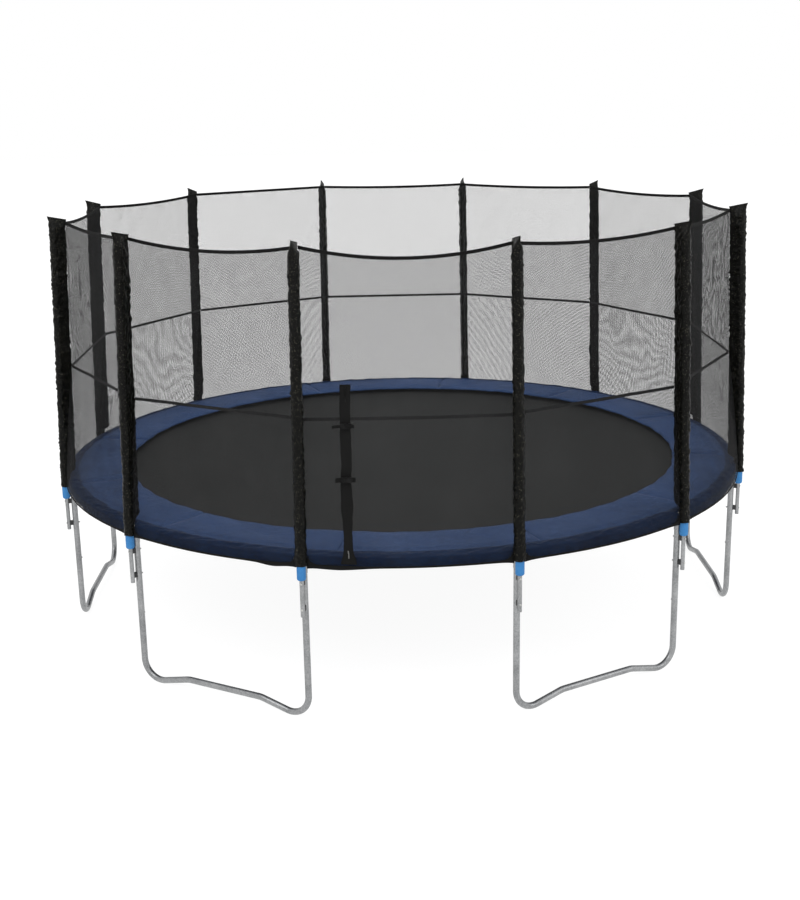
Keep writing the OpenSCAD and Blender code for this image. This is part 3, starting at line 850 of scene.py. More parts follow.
STRETCH_FROM, STRETCH_TO = 2.235, 2.085
GROUP = 4
for number in range(SPRINGS // GROUP):
    first = FIRST_POLE - RAIL_LAG + SPRING_STEP * (GROUP * number + 0.5)
    group = round_ring(f"springs_{number + 1:02d}", one_spring, GROUP, first, SPRING_STEP,
                       spring_steel, used_up=False)
    middle = first + SPRING_STEP * (GROUP - 1) / 2
    start, end = around(STRETCH_FROM, middle), around(STRETCH_TO, middle)
    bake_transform(group)
    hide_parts("springs")
bpy.data.objects.remove(one_spring)
print(SPRINGS, "springs in groups of", GROUP, "with", len(group.data.polygons), "faces each")

# %% [markdown]
# ## The steel triangles and the mat's hem
# Each spring hooks into a triangle of wire, and a short loop of webbing sewn to the hem
# holds the triangle's base. The hem is a doubled band. It is a closed ring swept from a
# small flattened outline, pulled out a little towards each spring.

# %% Bend the triangles and sew the hem
RING_WIRE_R = 0.002
RING_Z = MAT_Z + 0.0033
base_x, tip_x, half = 2.043, 2.0745, 0.0162

corner = [(base_x, -half + 0.004, RING_Z), (base_x + 0.0006, -half + 0.0012, RING_Z),
          (base_x + 0.003, -half, RING_Z), (tip_x - 0.003, -0.0022, RING_Z),
          (tip_x, 0, RING_Z)]
other_half = [(x, -y, z) for x, y, z in corner[-2::-1]]
triangle = wire("triangle", corner + other_half + [corner[0]], RING_WIRE_R, spring_steel, 6)
triangles = round_ring("spring_rings_wire", triangle, SPRINGS, FIRST_SPRING, SPRING_STEP,
                       spring_steel)
belongs(triangles, "mat_rim", "spring_rings")

HEM_IN, HEM_OUT, HEM_LOW, HEM_HIGH = 2.01, 2.0425, MAT_Z + 0.0002, MAT_Z + 0.0056
HEM_OUTLINE = [
    (HEM_IN, HEM_LOW), (HEM_IN - 0.001, HEM_LOW + 0.002), (HEM_IN + 0.002, HEM_HIGH - 0.0012),
    (HEM_IN + 0.012, HEM_HIGH), (HEM_OUT - 0.012, HEM_HIGH), (HEM_OUT - 0.002, HEM_HIGH - 0.001),
    (HEM_OUT, HEM_LOW + 0.002), (HEM_OUT - 0.001, HEM_LOW)]
HEM_SIDES, HEM_PULL, HEM_MAP_STEP = 240, 0.0006, 0.006
hem_angle = np.arange(HEM_SIDES) * 360 / HEM_SIDES
pull = np.cos(np.radians(hem_angle * POLES * SPRINGS_PER_RAIL)) * HEM_PULL
hem_points = np.array([[(*around(r + d, a), z) for r, z in HEM_OUTLINE]
                       for a, d in zip(hem_angle, pull)])
n = len(HEM_OUTLINE)
hem_faces = grid_faces(HEM_SIDES + 1, n, True) % (HEM_SIDES * n)
hem_place = np.array([[(a / 360 * 2 * math.pi * MAT_R, k * HEM_MAP_STEP) for k in range(n)]
                      for a in hem_angle]).reshape(-1, 2)
hem = link("mat_hem_band", mesh_of("hem", hem_points.reshape(-1, 3), hem_faces, hem_place), webbing)
belongs(hem, "mat_rim", "mat_hem")
print(len(triangles.data.polygons), "faces of triangles and", len(hem.data.polygons), "of hem")

# %% [markdown]
# ## Stitches and webbing loops
# A stitch is a short rounded bar that sinks into the cloth at both ends. The ring tree sets
# two rows of them on the hem, and one loop of webbing over the base of each triangle.

# %% Sew them on
def stitch(length, width, height):
    """One stitch lying on z = 0 along Y, as an arch of few faces."""
    along = np.array([-0.5, -0.3, 0.0, 0.3, 0.5]) * length
    rise = np.array([-0.3, 0.7, 1.0, 0.7, -0.3]) * height
    grid = np.array([[(w * width, a, r - (abs(w) > 0.4) * height * 0.6) for w in (-0.5, 0, 0.5)]
                     for a, r in zip(along, rise)])
    low = grid.copy()
    low[..., 2] = -0.4 * height
    return two_sided("stitch", grid, low)


HEM_STITCHES = 1000
STITCH_L, STITCH_W, STITCH_H = 0.0075, 0.0012, 0.0006
stitch_pair = []
for radius in (HEM_IN + 0.006, HEM_OUT - 0.008):
    mesh = stitch(STITCH_L, STITCH_W, STITCH_H)
    mesh.transform(Matrix.Translation((radius, 0, HEM_HIGH - 0.0002)))
    stitch_pair.append(link("row", mesh, stitch_thread))
hem_stitches = round_ring("hem_stitches", joined("two_stitches", stitch_pair, stitch_thread),
                          HEM_STITCHES, 0, 360 / HEM_STITCHES, stitch_thread)
belongs(hem_stitches, "mat_rim")

LOOP_W = 0.025
loop_line = [(2.030, 0.9626), (2.036, 0.9638), (2.0425, 0.9642), (2.0462, 0.9620),
             (2.0468, 0.9590), (2.0440, 0.9562), (2.038, 0.9560)]
loop_grid = np.array([[(x, y, z) for y in np.linspace(-LOOP_W / 2, LOOP_W / 2, 3)]
                      for x, z in loop_line])
one_loop = link("one_loop", sheet_mesh("loop", loop_grid, loop_grid[..., [1, 0]], 0.001), webbing)
loops = round_ring("ring_loops", one_loop, SPRINGS, FIRST_SPRING, SPRING_STEP, webbing)
belongs(loops, "mat_rim")
print("faces of stitches and loops:", len(hem_stitches.data.polygons), len(loops.data.polygons))

# %% [markdown]
# ## The jumping mat
# The mat is one woven sheet, pulled flat by the springs. Under a jumper its middle goes down much
# further than its edge. It is made as twelve slices and a middle disc, which meet along their
# seams, so the sheet is whole. A piece can bend between two bodies along one line only, so the
# mat is made as twelve slices and a middle disc.

# %% Lay the mat
HUB_R = 0.5
MAT_THICK = 0.002
SLICE_ROWS, SLICE_COLUMNS = 34, 17


def mat_piece(name, radii, angles, closed=False):
    """A piece of the mat between radii and angles, uneven by under a millimetre."""
    flat = around(radii[:, None], angles[None, :])
    x, y = flat[..., 0], flat[..., 1]
    calm = smooth((MAT_R - np.hypot(x, y)) / 0.3)
    spot = np.stack([x, y, np.zeros_like(x)], -1)
    height = MAT_Z - 0.0012 + calm * (lumps(spot, 2.3, 1) * 0.0008)
    grid = np.concatenate([flat, height[..., None]], -1)
    return link(name, sheet_mesh(name, grid, flat, -MAT_THICK, closed), mat_cloth)


BEND_FROM = 1.965
for number in range(POLES):
    piece = mat_piece(f"mat_slice_{number + 1:02d}", np.linspace(HUB_R, MAT_R - 0.002, SLICE_ROWS),
                      np.linspace(0, STEP, SLICE_COLUMNS) + pole_angle(number))
    middle = pole_angle(number) + STEP / 2
    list(around(BEND_FROM, middle))
    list(around(HUB_R, middle))
    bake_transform(piece)
    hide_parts("jump_mat")

steps_round = np.arange(POLES * (SLICE_COLUMNS - 1))
hub = mat_piece("mat_middle", np.linspace(0.0006, HUB_R, 10),
                steps_round * STEP / (SLICE_COLUMNS - 1) + FIRST_POLE, closed=True)
belongs(hub, "mat_centre")
print(POLES, "slices and a middle of", len(hub.data.polygons), "faces")

# %% [markdown]
# ## The safety pad
# The pad covers the springs. It is twelve sections of flat foam in a coated cover, sewn shut
# at both ends, so each section is full in the middle and pinched at its seams. We draw one
# section as a loop of points for each step along the ring. A cloth simulation then blows it
# up a little, with every point held near where it started.

# %% Say where the pad rounds and where it is held
SEAM_LAG = 4.5
FOAM = 0.02
SEAM_W, EDGE_W = 0.026, 0.016
STATIONS, ACROSS = 74, 30
SHOULDER, SHOULDER_DROP = 0.085, 0.017
PINNED_R = PAD_OUT - SHOULDER


def bulge_at(edge, width):
    """A quarter circle's height, 0 at an edge and 1 from a width on."""
    share = np.clip(edge / width, 0, 1)
    return np.sqrt(share * (2 - share))


def pad_outer(angle):
    """The pad's outer radius, which gives way to a pole near the section's end."""
    from_pole = np.abs(np.radians(angle - (STEP - SEAM_LAG))) * PAD_OUT
    return PAD_OUT - 0.002 - 0.021 * (1 - smooth((from_pole - 0.028) / 0.022))


def pad_fall(r):
    """How far the pad's top has come down at a radius, as it rounds its outer edge."""
    return SHOULDER_DROP * np.clip((r - PINNED_R) / SHOULDER, 0, 1) ** 1.6


def free_share(points):
    """1 where the cover is free to crease, 0 at the seams and under the skirt."""
    x, y = points[..., 0], points[..., 1]
    angle = np.degrees(np.arctan2(x, -y))
    ends = smooth(np.minimum(angle, STEP - angle) / 0.9)
    return ends * smooth((PINNED_R - np.hypot(x, y)) / 0.03)


print("the pad rounds over its outer", SHOULDER * 1000, "mm")

# %% [markdown]
# ## One section as a mesh
# At every station the section is cut across: a top line and a bottom line, thin at both
# edges and pinched near the seams. The loops are joined to a mesh and the ends are closed.

# %% Join the stations
def pad_section(seed):
    """Rings of points across the pad, one for each station along it, closer near its ends."""
    inside = np.linspace(0.04, STEP - 0.04, STATIONS - 4)
    angle = np.concatenate([[0, 0.015], inside, [STEP - 0.015, STEP]])
    share = np.linspace(0, 1, ACROSS)
    share = 0.5 * share + 0.5 * smooth(share)
    rings = []
    for a in angle:
        to_seam = np.radians(np.minimum(a, STEP - a)) * RING_R
        full = 0.12 + 0.88 * float(bulge_at(to_seam, SEAM_W))
        outer = float(pad_outer(np.array(a)))
        inner = PAD_IN + 0.004 * math.sin(a * 0.9 + seed)
        middle = PAD_TOP - FOAM / 2 - 0.003 * (1 - full)
        r = inner + (outer - inner) * share
        fall = pad_fall(r)
        thin = bulge_at(np.minimum(share, 1 - share) * (outer - inner), EDGE_W)
        half_height = FOAM / 2 * full * (0.15 + 0.85 * thin)
        top = np.stack([r, middle + half_height - fall], -1)
        low = np.stack([r, np.minimum(middle - half_height, top[:, 1] - 0.001)], -1)[::-1]
        rings.append([(*around(x, a), z) for x, z in np.concatenate([top, low])])
    return np.array(rings)


def pad_mesh(seed):
    rings = pad_section(seed)
    stations, count = rings.shape[:2]
    creases = layered(rings, (9.0, seed, 0.0016), (28.0, seed + 5, 0.0009))
    rings[..., 2] += creases * free_share(rings)
    side = grid_faces(stations, count, True)
    half = count // 2
    end_faces = []
    for base in (0, (stations - 1) * count):
        for k in range(half - 1):
            quad = (base + k, base + k + 1, base + count - 2 - k, base + count - 1 - k)
            end_faces.append(quad if base == 0 else quad[::-1])
    return mesh_of("pad", rings.reshape(-1, 3), np.concatenate([side, np.array(end_faces)]))


print("a section has", STATIONS, "stations of", 2 * ACROSS, "points")

# %% [markdown]
# ## Blowing the pad up
# Blender's Cloth can push a closed mesh from inside, like air. The cloth is given three
# percent more width than the foam needs, which is what makes the cover crease. After twenty
# frames we read where each point went and cap the way it moved, so that the section stays in
# its place and clear of the springs below. Three simulated sections are enough, because the
# twelve are turned copies of them, each with creases of its own.

# %% Simulate the sections and copy them round
SIM_FRAMES = 20
COVER = {"quality": 5, "mass": 0.3, "tension_stiffness": 12, "compression_stiffness": 12,
         "bending_stiffness": 0.4, "use_pressure": True, "uniform_pressure_force": 4,
         "shrink_min": -0.03}
CAP = 0.008
PAD_FLOOR, PAD_CEILING = 0.9785, PAD_TOP + 0.008
VARIANTS = 3


def simulate(piece):
    start = np.array([v.co for v in piece.data.vertices])
    modifier = piece.modifiers.new("cloth", "CLOTH")
    settings = modifier.settings
    for key, value in COVER.items():
        setattr(settings, key, value)
    settings.effector_weights.gravity = 0
    modifier.point_cache.frame_start, modifier.point_cache.frame_end = 1, SIM_FRAMES
    for step in range(1, SIM_FRAMES + 1):
        bpy.context.scene.frame_set(step)
    evaluated = piece.evaluated_get(bpy.context.evaluated_depsgraph_get())
    end = np.array([v.co for v in evaluated.data.vertices])
    piece.modifiers.remove(modifier)
    bpy.context.scene.frame_set(1)
    return start, end


def capped(start, end):
    move = end - start
    move -= np.median(move, axis=0)
    length = np.linalg.norm(move, axis=1, keepdims=True)
    move *= np.minimum(1, CAP / np.maximum(length, 1e-9)) * free_share(start)[:, None]
    moved = start + move
    moved[:, 2] = np.clip(moved[:, 2], PAD_FLOOR, PAD_CEILING)
    radius = np.hypot(moved[:, 0], moved[:, 1])
    held = np.clip(radius, PAD_IN - 0.004, PAD_OUT)
    moved[:, :2] *= (held / radius)[:, None]
    return moved


section_shapes = []
for variant in range(VARIANTS):
    mesh = pad_mesh(variant)
    draft = link(f"pad_draft_{variant}", mesh, pad_cloth)
    points = np.array([v.co for v in mesh.vertices])
    points = capped(*simulate(draft))
    section_shapes.append((points, [tuple(f.vertices) for f in mesh.polygons]))
    bpy.data.objects.remove(draft)

for number in range(POLES):
    points, faces = section_shapes[(number * 2 + number // 3) % VARIANTS]
    local = points.copy()
    seed = 40 + number
    waves = layered(local, (5.0, seed, 0.0018), (17.0, seed, 0.0011))
    local[:, 2] += waves * free_share(local)
    local[:, 2] = np.clip(local[:, 2], PAD_FLOOR, PAD_CEILING)
    placed = turned(local, pole_angle(number) - STEP + SEAM_LAG + 90)
    pad = link(f"pad_section_{number + 1:02d}", mesh_of("pad", placed, faces), pad_cloth)
    smoothing = pad.modifiers.new("smooth", "SUBSURF")
    smoothing.levels = smoothing.render_levels = 1
    belongs(pad, "frame", "safety_pad")

# %% [markdown]
# ## The pad's skirt
# A strip of navy cloth is sewn on top of the pad near its outer edge; it is made darker than the
# pad as painted shade. It lies over the pad's shoulder and hangs down to hide the ring. Its sewn
# edge waves a little, and it is loose at the bottom, where it has small upright folds. The hanging
# part stops at each pole.

# %% Hang the skirt
SEWN_R, FOLD_R = 2.221, 2.2895
SKIRT_GAP = 0.022
OVER_ROWS, DOWN_ROWS, SKIRT_COLUMNS = 9, 11, 190
SKIRT_OVER, SKIRT_DOWN = FOLD_R - SEWN_R, 0.055
PUFF = 0.008
for number in range(POLES):
    u = np.linspace(0, 1, SKIRT_COLUMNS)[None, :]
    middle = np.radians(pole_angle(number) + u * STEP) * PAD_OUT
    spot = np.stack([middle, 0 * u, 0 * u], -1)
    edge = layered(spot, (7.0, 120 + number, 0.009), (31.0, 140 + number, 0.006),
                   (70.0, 150 + number, 0.003))
    folds = layered(spot, (21.0, 60 + number, 0.5), (47.0, 80 + number, 0.3))
    slow = lumps(spot, 4.0, 100 + number)

    over = np.linspace(0, 1, OVER_ROWS)[:, None]
    over_r = SEWN_R + edge + (FOLD_R - SEWN_R - edge) * over
    creased = np.stack(np.broadcast_arrays(middle * 13 + over * 2.2, over * 2.5, number * 3.3), -1)
    puff = 0.5 + layered(creased, (1.0, 160, 1), (3.1, 170, 0.5))
    lift = np.maximum(puff * PUFF * (4 * over * (1 - over)), 0)
    over_z = PAD_TOP + 0.0016 - pad_fall(over_r) + lift + 0.0015 * over

    down = np.linspace(0, 1, DOWN_ROWS)[1:, None]
    down_r = FOLD_R + down**0.8 * (0.0035 + 0.0048 * folds + 0.0012 * slow)
    fold_z = PAD_TOP + 0.0031 - SHOULDER_DROP
    down_z = fold_z - down * (fold_z - SKIRT_LOW - 0.001 + 0.002 * slow)

    radius = np.concatenate([over_r, down_r])
    height = np.concatenate([over_z + 0 * over_r, down_z + 0 * down_r])
    gap = np.degrees(0.0005 + SKIRT_GAP * smooth((radius - 2.252) / 0.012)) / PAD_OUT
    flat = around(radius, pole_angle(number) + gap + u * (STEP - 2 * gap))
    grid = np.concatenate([flat, height[..., None]], -1)
    run = np.concatenate([over * SKIRT_OVER, SKIRT_OVER + down * SKIRT_DOWN])
    place = np.stack(np.broadcast_arrays(middle, run), -1)
    skirt = link(f"pad_skirt_{number + 1:02d}", sheet_mesh("skirt", grid, place, -0.001),
                 skirt_cloth_painted_shade)
    belongs(skirt, "frame")
print(POLES, "skirts of", len(skirt.data.polygons), "faces")

# %% [markdown]
# ## Foam tubes
# A foam tube is pushed over each pole and shows below its sleeve. Its cut end is slightly
# rounded. It is straight up to the pole's bend and leans in above it, and it is made a bit
# thinner inside the sleeve, so that no foam pokes through the cloth.

# %% Push the foam on
FOAM_LOW, FOAM_R, FOAM_BORE = 0.852, 0.0255, 0.013
POLE_TOP = 2.59
FOAM_SIDES = 28

foam_rows = [(FOAM_LOW + 0.004, FOAM_BORE), (FOAM_LOW + 0.0005, FOAM_BORE + 0.002),
             (FOAM_LOW, FOAM_R - 0.0085), (FOAM_LOW + 0.0016, FOAM_R - 0.0048),
             (FOAM_LOW + 0.0048, FOAM_R - 0.0018), (FOAM_LOW + 0.0095, FOAM_R - 0.0003)]
foam_rows += [(z, FOAM_R) for z in np.linspace(FOAM_LOW + 0.015, 0.93, 12)]
foam_rows += [(z, FOAM_R - 0.003) for z in np.linspace(0.95, POLE_TOP - 0.01, 12)]
foam_rows += [(POLE_TOP - 0.008, FOAM_R - 0.005), (POLE_TOP - 0.008, FOAM_BORE)]


turns = np.arange(FOAM_SIDES) * 2 * math.pi / FOAM_SIDES
foam_grid = np.array([[(r * math.cos(t), r * math.sin(t), z) for t in turns] for z, r in foam_rows])
bulge = lumps(foam_grid, 60.0, 3) * 0.0005
foam_grid[5:-2, :, 0] += bulge[5:-2] * np.cos(turns)
foam_grid[5:-2, :, 1] += bulge[5:-2] * np.sin(turns)
foam_grid = np.where(foam_grid[..., 2:] > BEND_Z, leaning(foam_grid - np.array([0, 0, BEND_Z])),
                     foam_grid + np.array([POLE_R, 0, 0]))
rows = len(foam_rows)
tube_faces = grid_faces(rows + 1, FOAM_SIDES, True) % (rows * FOAM_SIDES)
one_foam = link("one_foam", mesh_of("foam", foam_grid.reshape(-1, 3), tube_faces), foam)
foams = round_ring("foam_tube_set", one_foam, POLES, FIRST_POLE, STEP, foam)
foams.data.shade_smooth()
belongs(foams, "frame", "foam_tubes")
print("foam tubes have", len(foams.data.polygons), "faces")

# %% [markdown]
# ## The sleeves
# Each pole stands in a sleeve of black nylon that is much longer and wider than the foam in
# it, so it is full of small puckers. Its seam faces the middle of the trampoline and holds
# the net's edge. At the top the sleeve is empty and pressed flat, with one corner up. The
# outline at each height is a drop shape, resampled so that its points are evenly spaced.

# %% Sew the sleeves
SLEEVE_LOW, FLAP_LOW = 0.925, 1.012
CREST_Z, FLARE_Z, CREST_W = 2.602, 2.636, 0.12
FLAP_R = 0.004
SLEEVE_SIDES, SLEEVE_ROWS = 52, 190
SLEEVE_GIRTH, SLEEVE_LENGTH = 0.235, 1.75


def drop_outline(reach):
    """A round front and a narrow flap that reaches inwards, as evenly spaced points."""
    reach = max(reach, SLEEVE_R * 0.98)
    tail = -reach + FLAP_R
    lean = math.asin(min(0.98, (SLEEVE_R - FLAP_R) / max(-tail, SLEEVE_R - FLAP_R + 1e-4)))
    wide = math.pi / 2 + lean
    front = [(SLEEVE_R * math.cos(a), SLEEVE_R * math.sin(a))
             for a in np.linspace(-wide, wide, 40)]
    end = [(tail + FLAP_R * math.cos(a), FLAP_R * math.sin(a))
           for a in np.linspace(wide, 2 * math.pi - wide, 8)]
    line = np.array(front + end + front[:1])
    along = np.concatenate([[0], np.cumsum(np.linalg.norm(np.diff(line, axis=0), axis=1))])
    want = np.linspace(0, along[-1], SLEEVE_SIDES, endpoint=False)
    return np.stack([np.interp(want, along, line[:, k]) for k in (0, 1)], -1)


def sleeve_rows():
    """The clean sleeve, upright at the origin, with heights counted from the pole's bend."""
    rows = []
    for height in np.linspace(SLEEVE_LOW, CREST_TOP, SLEEVE_ROWS):
        open_flap = float(smooth((height - FLAP_LOW + 0.012) / 0.05))
        outline = drop_outline(SLEEVE_R + (FLAP - SLEEVE_R) * open_flap)
        press = float(smooth((height - CREST_Z) / (CREST_TOP - CREST_Z)))
        flare = float(np.clip((height - FLARE_Z) / (CREST_TOP - FLARE_Z), 0, 1)) ** 1.4
        share = (outline[:, 0] + FLAP) / (SLEEVE_R + FLAP)
        wide = SLEEVE_R + FLAP + (CREST_W - SLEEVE_R - FLAP) * flare
        x = -FLAP - 0.008 * flare + share * wide
        corner = press * (0.02 * np.clip(share, 0, 1) - 0.004)
        y = outline[:, 1] * (1 - 0.9 * press) * (1 + 0.14 * (1 - open_flap))
        rows.append(np.stack([x, y, height - BEND_Z + corner], -1))
    return np.array(rows)


clean = sleeve_rows()
normal = -outward(clean, True)
if np.mean(np.sum(normal[:, 0] * (clean[:, 0] - clean.mean(1)), -1)) < 0:
    normal = -normal
place = np.stack(np.meshgrid(np.linspace(0, SLEEVE_GIRTH, SLEEVE_SIDES),
                             np.linspace(0, SLEEVE_LENGTH, SLEEVE_ROWS)), -1)
calm = 1 - 0.6 * smooth((clean[..., 2] - (CREST_Z - BEND_Z) - 0.02) / 0.04)
tight = np.array([26.0, 26.0, 40.0])
for number in range(POLES):
    swirl = lumps(clean, 12.0, 200 + number)[..., None] * np.array([0.02, 0.02, 0.05])
    pucker = np.abs(lumps((clean + swirl) * tight, 1.0, 220 + number))
    fine = np.abs(lumps((clean + swirl * 0.6) * tight * 2.1, 1.0, 240 + number))
    slow = lumps(clean, 7.0, 260 + number)
    depth = 0.0125 * pucker + 0.006 * fine + 0.002 * slow - 0.0036
    placed = turned(leaning(clean + normal * (depth * calm)[..., None]), pole_angle(number))
    sleeve = link(f"pole_sleeve_{number + 1:02d}",
                  sheet_mesh("sleeve", placed, place, 0.0008, True), sleeve_cloth)
    belongs(sleeve, "frame", "pole_sleeves")
print(POLES, "sleeves of", len(sleeve.data.polygons), "faces")

# %% [markdown]
# ## The net panels
# A panel hangs between two sleeves. At the top it is tied to the sleeves' seams and runs
# straight from one to the next. At the bottom it lies round the outside of the pad, on a
# circle. A point of the panel is a mix of the two, by height, and noise that fades out at
# the edges gives it slack. The top edge sags between the poles, most of all at the entrance.

# %% Hang the net
NET_LOW_R = 2.3035
NET_FOOT = 0.934
ZIP_TOP = 1.92
SAGS = (0.068, 0.031, 0.02, 0.02, 0.02, 0.011, 0.011, 0.0, 0.02, 0.02, 0.02, 0.047)
NET_COLUMNS, NET_ROWS = 44, 64
NET_THICK = 0.0004
PANEL_W, PANEL_H = 1.17, 1.74


def top_edge(panel, u):
    return NET_TOP - 4 * SAGS[panel] * u * (1 - u)


def net_point(panel, u, z, out=0.0):
    """A point of a panel, u from 0 to 1 across it, at height z, moved outwards by out."""
    u, z = np.broadcast_arrays(np.asarray(u, float), np.asarray(z, float))
    first = pole_angle(panel)
    foot_gap = math.degrees(math.asin((SLEEVE_R + 0.002) / NET_LOW_R))
    seam = pole_radius(z) - FLAP
    seam_gap = np.degrees(np.arcsin((FLAP_R - 0.001) / seam))
    straight_from = ZIP_TOP if panel == 0 else BELT_Z
    t = np.clip((z - PAD_TOP) / (straight_from - PAD_TOP), 0, 1)[..., None]
    low = around(NET_LOW_R + out, first + foot_gap + u * (STEP - 2 * foot_gap))
    left, right = around(seam, first + seam_gap), around(seam, first + STEP - seam_gap)
    straight = left * (1 - u[..., None]) + right * u[..., None] + around(out, first + STEP / 2)
    return np.concatenate([low * (1 - t) + straight * t, z[..., None]], -1)


def net_slack(panel, u, z):
    """How far the loose net stands off its smooth shape."""
    high = top_edge(panel, u)
    v = (z - PAD_TOP) / (high - PAD_TOP)
    quiet = smooth(u / 0.12) * smooth((1 - u) / 0.12) * smooth(v / 0.1) * smooth((1 - v) / 0.06)
    broad = lumps_at(u * 2.2, v * 1.4, panel * 7.7, 11)
    upright = lumps_at(u * 15, v * 1.6, panel * 3.1, 12)
    slanted = lumps_at((u + v * 0.8) * 9, (v - u) * 2.5, panel * 5.9, 13)
    return quiet * (0.007 * broad + 0.002 * upright + 0.003 * slanted)


for panel in range(POLES):
    u, v = np.meshgrid(np.linspace(0, 1, NET_COLUMNS), np.linspace(0, 1, NET_ROWS))
    z = NET_FOOT + (top_edge(panel, u) - NET_FOOT) * v
    grid = net_point(panel, u, z, net_slack(panel, u, z))
    place = np.stack([u * PANEL_W + panel * PANEL_W, z], -1)
    net = link(f"net_panel_{panel + 1:02d}", sheet_mesh("net", grid, place, NET_THICK), net_cloth)
    belongs(net, "frame", "net_panels")

# %% [markdown]
# ## Bands sewn to the net
# A folded band closes the net's top edge, a flat belt runs round half way up, and a hem
# closes the bottom. All three are narrow strips that follow the same surface as the panel,
# a little to one side of it, so they are made by one function.

# %% Sew the bands
def net_strip(name, panel, low, high, out, thickness, material, wave):
    """A strip on a panel between two heights, which are functions of u."""
    u, v = np.meshgrid(np.linspace(0, 1, STRIP_COLUMNS), np.linspace(0, 1, STRIP_ROWS))
    z = low(u) + (high(u) - low(u)) * v
    slack = net_slack(panel, u, np.minimum(z, top_edge(panel, u)))
    grid = net_point(panel, u, z, slack + out + lumps_at(u * 22, v, panel, 31) * wave)
    return link(name, sheet_mesh(name, grid, np.stack([u * PANEL_W, z], -1), thickness), material)


STRIP_COLUMNS, STRIP_ROWS = 61, 4
BAND_H, BELT_H, HEM_H = 0.017, 0.018, 0.01


def hem_low(panel, u):
    """The hem's lower edge: it comes down to each sleeve, and sags either side of one pole."""
    to_pole = np.minimum(u, 1 - u) * PANEL_W
    at, wide = {0: (0.15, 0.13), POLES - 1: (0.88, 0.07)}.get(panel, (0, 1))
    sag = 0.014 * np.exp(-((u - at) / wide) ** 2) if panel in (0, POLES - 1) else 0
    return NET_FOOT - 0.001 - 0.011 * np.exp(-to_pole / 0.05) - sag


def hem_high(u):
    """The hem's upper edge: it climbs beside each sleeve, as the patch that is sewn there."""
    to_pole = np.minimum(u, 1 - u) * PANEL_W
    return NET_FOOT + HEM_H + 0.05 * np.exp(-to_pole / 0.018)


for panel in range(POLES):
    strips = {
        "top_band": (lambda u: top_edge(panel, u) - BAND_H,
                     lambda u: top_edge(panel, u) + 0.002, -0.0016, 0.0042, webbing, 0.0006),
        "belt": (lambda u: 0 * u + BELT_Z - BELT_H / 2,
                 lambda u: 0 * u + BELT_Z + BELT_H / 2, -0.0032, 0.0016, belt_cloth, 0.0004),
        "bottom_hem": (lambda u: hem_low(panel, u), hem_high, -0.0006, 0.0028, webbing, 0.0008)}
    names = [f"{label}_{panel + 1:02d}" for label in strips]
    for name, (label, shape) in zip(names, strips.items()):
        belongs(net_strip(name, panel, *shape), "frame", f"net_{label}")
print("bands, belts and hems are on", POLES, "panels")

# %% [markdown]
# ## The zip of the entrance
# One side of the entrance panel opens with a long zip. Its tape is a dark strip that is a
# little wavy, because the net pulls it, and the two rows of teeth run up its middle. The
# slider has a body that is wider at the top and a pull tab. It rides on its own body, which
# slides up the zip.

# %% Set in the zip
ZIP_U = 0.205
ZIP_LOW = Vector((-0.334857, -2.27752, 1.001))
ZIP_UP = Vector((0.0017266, 0.150966, 0.988537))
ZIP_LENGTH = (ZIP_TOP - ZIP_LOW.z) / ZIP_UP.z
LEG_CHORD = 2 * RING_R * math.sin(math.radians(STEP / 2))
TAPE_W, TAPE_LOW = 0.06, 0.955

v, side = np.meshgrid(np.linspace(0, 1, 90), np.linspace(-0.5, 0.5, 9), indexing="ij")
tape_z = TAPE_LOW + (ZIP_TOP - TAPE_LOW) * v
flare = 0.5 * smooth((1.03 - tape_z) / 0.07) - 0.06 * smooth((1.3 - tape_z) / 0.2)
sway = (lumps_at(v * 6, side * 0.8, 0, 70) * 0.0055
        + lumps_at(v * 19, side * 1.5, 0, 72) * 0.003)
tape_u = ZIP_U + side * TAPE_W * (1 + flare) / LEG_CHORD + sway * (np.abs(side) * 2) ** 1.5
cup = (np.abs(side) * 2) ** 2 * lumps_at(v * 11, side, 0, 71) * 0.003
tape_grid = net_point(0, tape_u, tape_z, NET_THICK + 0.0022 + np.abs(cup))
tape = link("zip_tape_cloth",
            sheet_mesh("tape", tape_grid, np.stack([side * TAPE_W, tape_z], -1), 0.0016), webbing)
belongs(tape, "frame", "zip_tape")

TOOTH = 0.0042
tooth_points = [(x, y, z) for x in (-0.0024, 0.0024) for y in (-0.0011, 0.0009)
                for z in (-0.0011, 0.0011)]
tooth_faces = [(0, 1, 3, 2), (4, 6, 7, 5), (0, 4, 5, 1), (2, 3, 7, 6), (0, 2, 6, 4), (1, 5, 7, 3)]
teeth = []
for number, shift in enumerate((-0.0017, 0.0017)):
    one = link("tooth", mesh_of("tooth", tooth_points, tooth_faces, sharp=True), buckle_plastic)
    begin = ZIP_LOW + Vector((shift, -0.0002, 0)) + ZIP_UP * (0.004 + number * TOOTH / 2)
    count = int((ZIP_LENGTH - 0.012) / TOOTH)
    teeth.append(in_line(f"row_{number}", one, count, begin, ZIP_UP * TOOTH, buckle_plastic))
zip_teeth = flat_shaded(joined("zip_teeth", teeth, buckle_plastic))
belongs(zip_teeth, "frame")
print("the zip has", len(zip_teeth.data.polygons) // 6, "teeth")

# %% [markdown]
# ## Rounded solid pieces
# The slider and the buckles are small castings and mouldings. A flat outline pushed out to a
# thickness, with its edges rounded by a Bevel, makes each part of them. Parts that touch are
# kept as one piece for each body.

# %% Build the slider
def signed_volume(mesh):
    mesh.calc_loop_triangles()
    corners = [[mesh.vertices[k].co for k in t.vertices] for t in mesh.loop_triangles]
    return sum(a.dot(b.cross(c)) for a, b, c in corners)


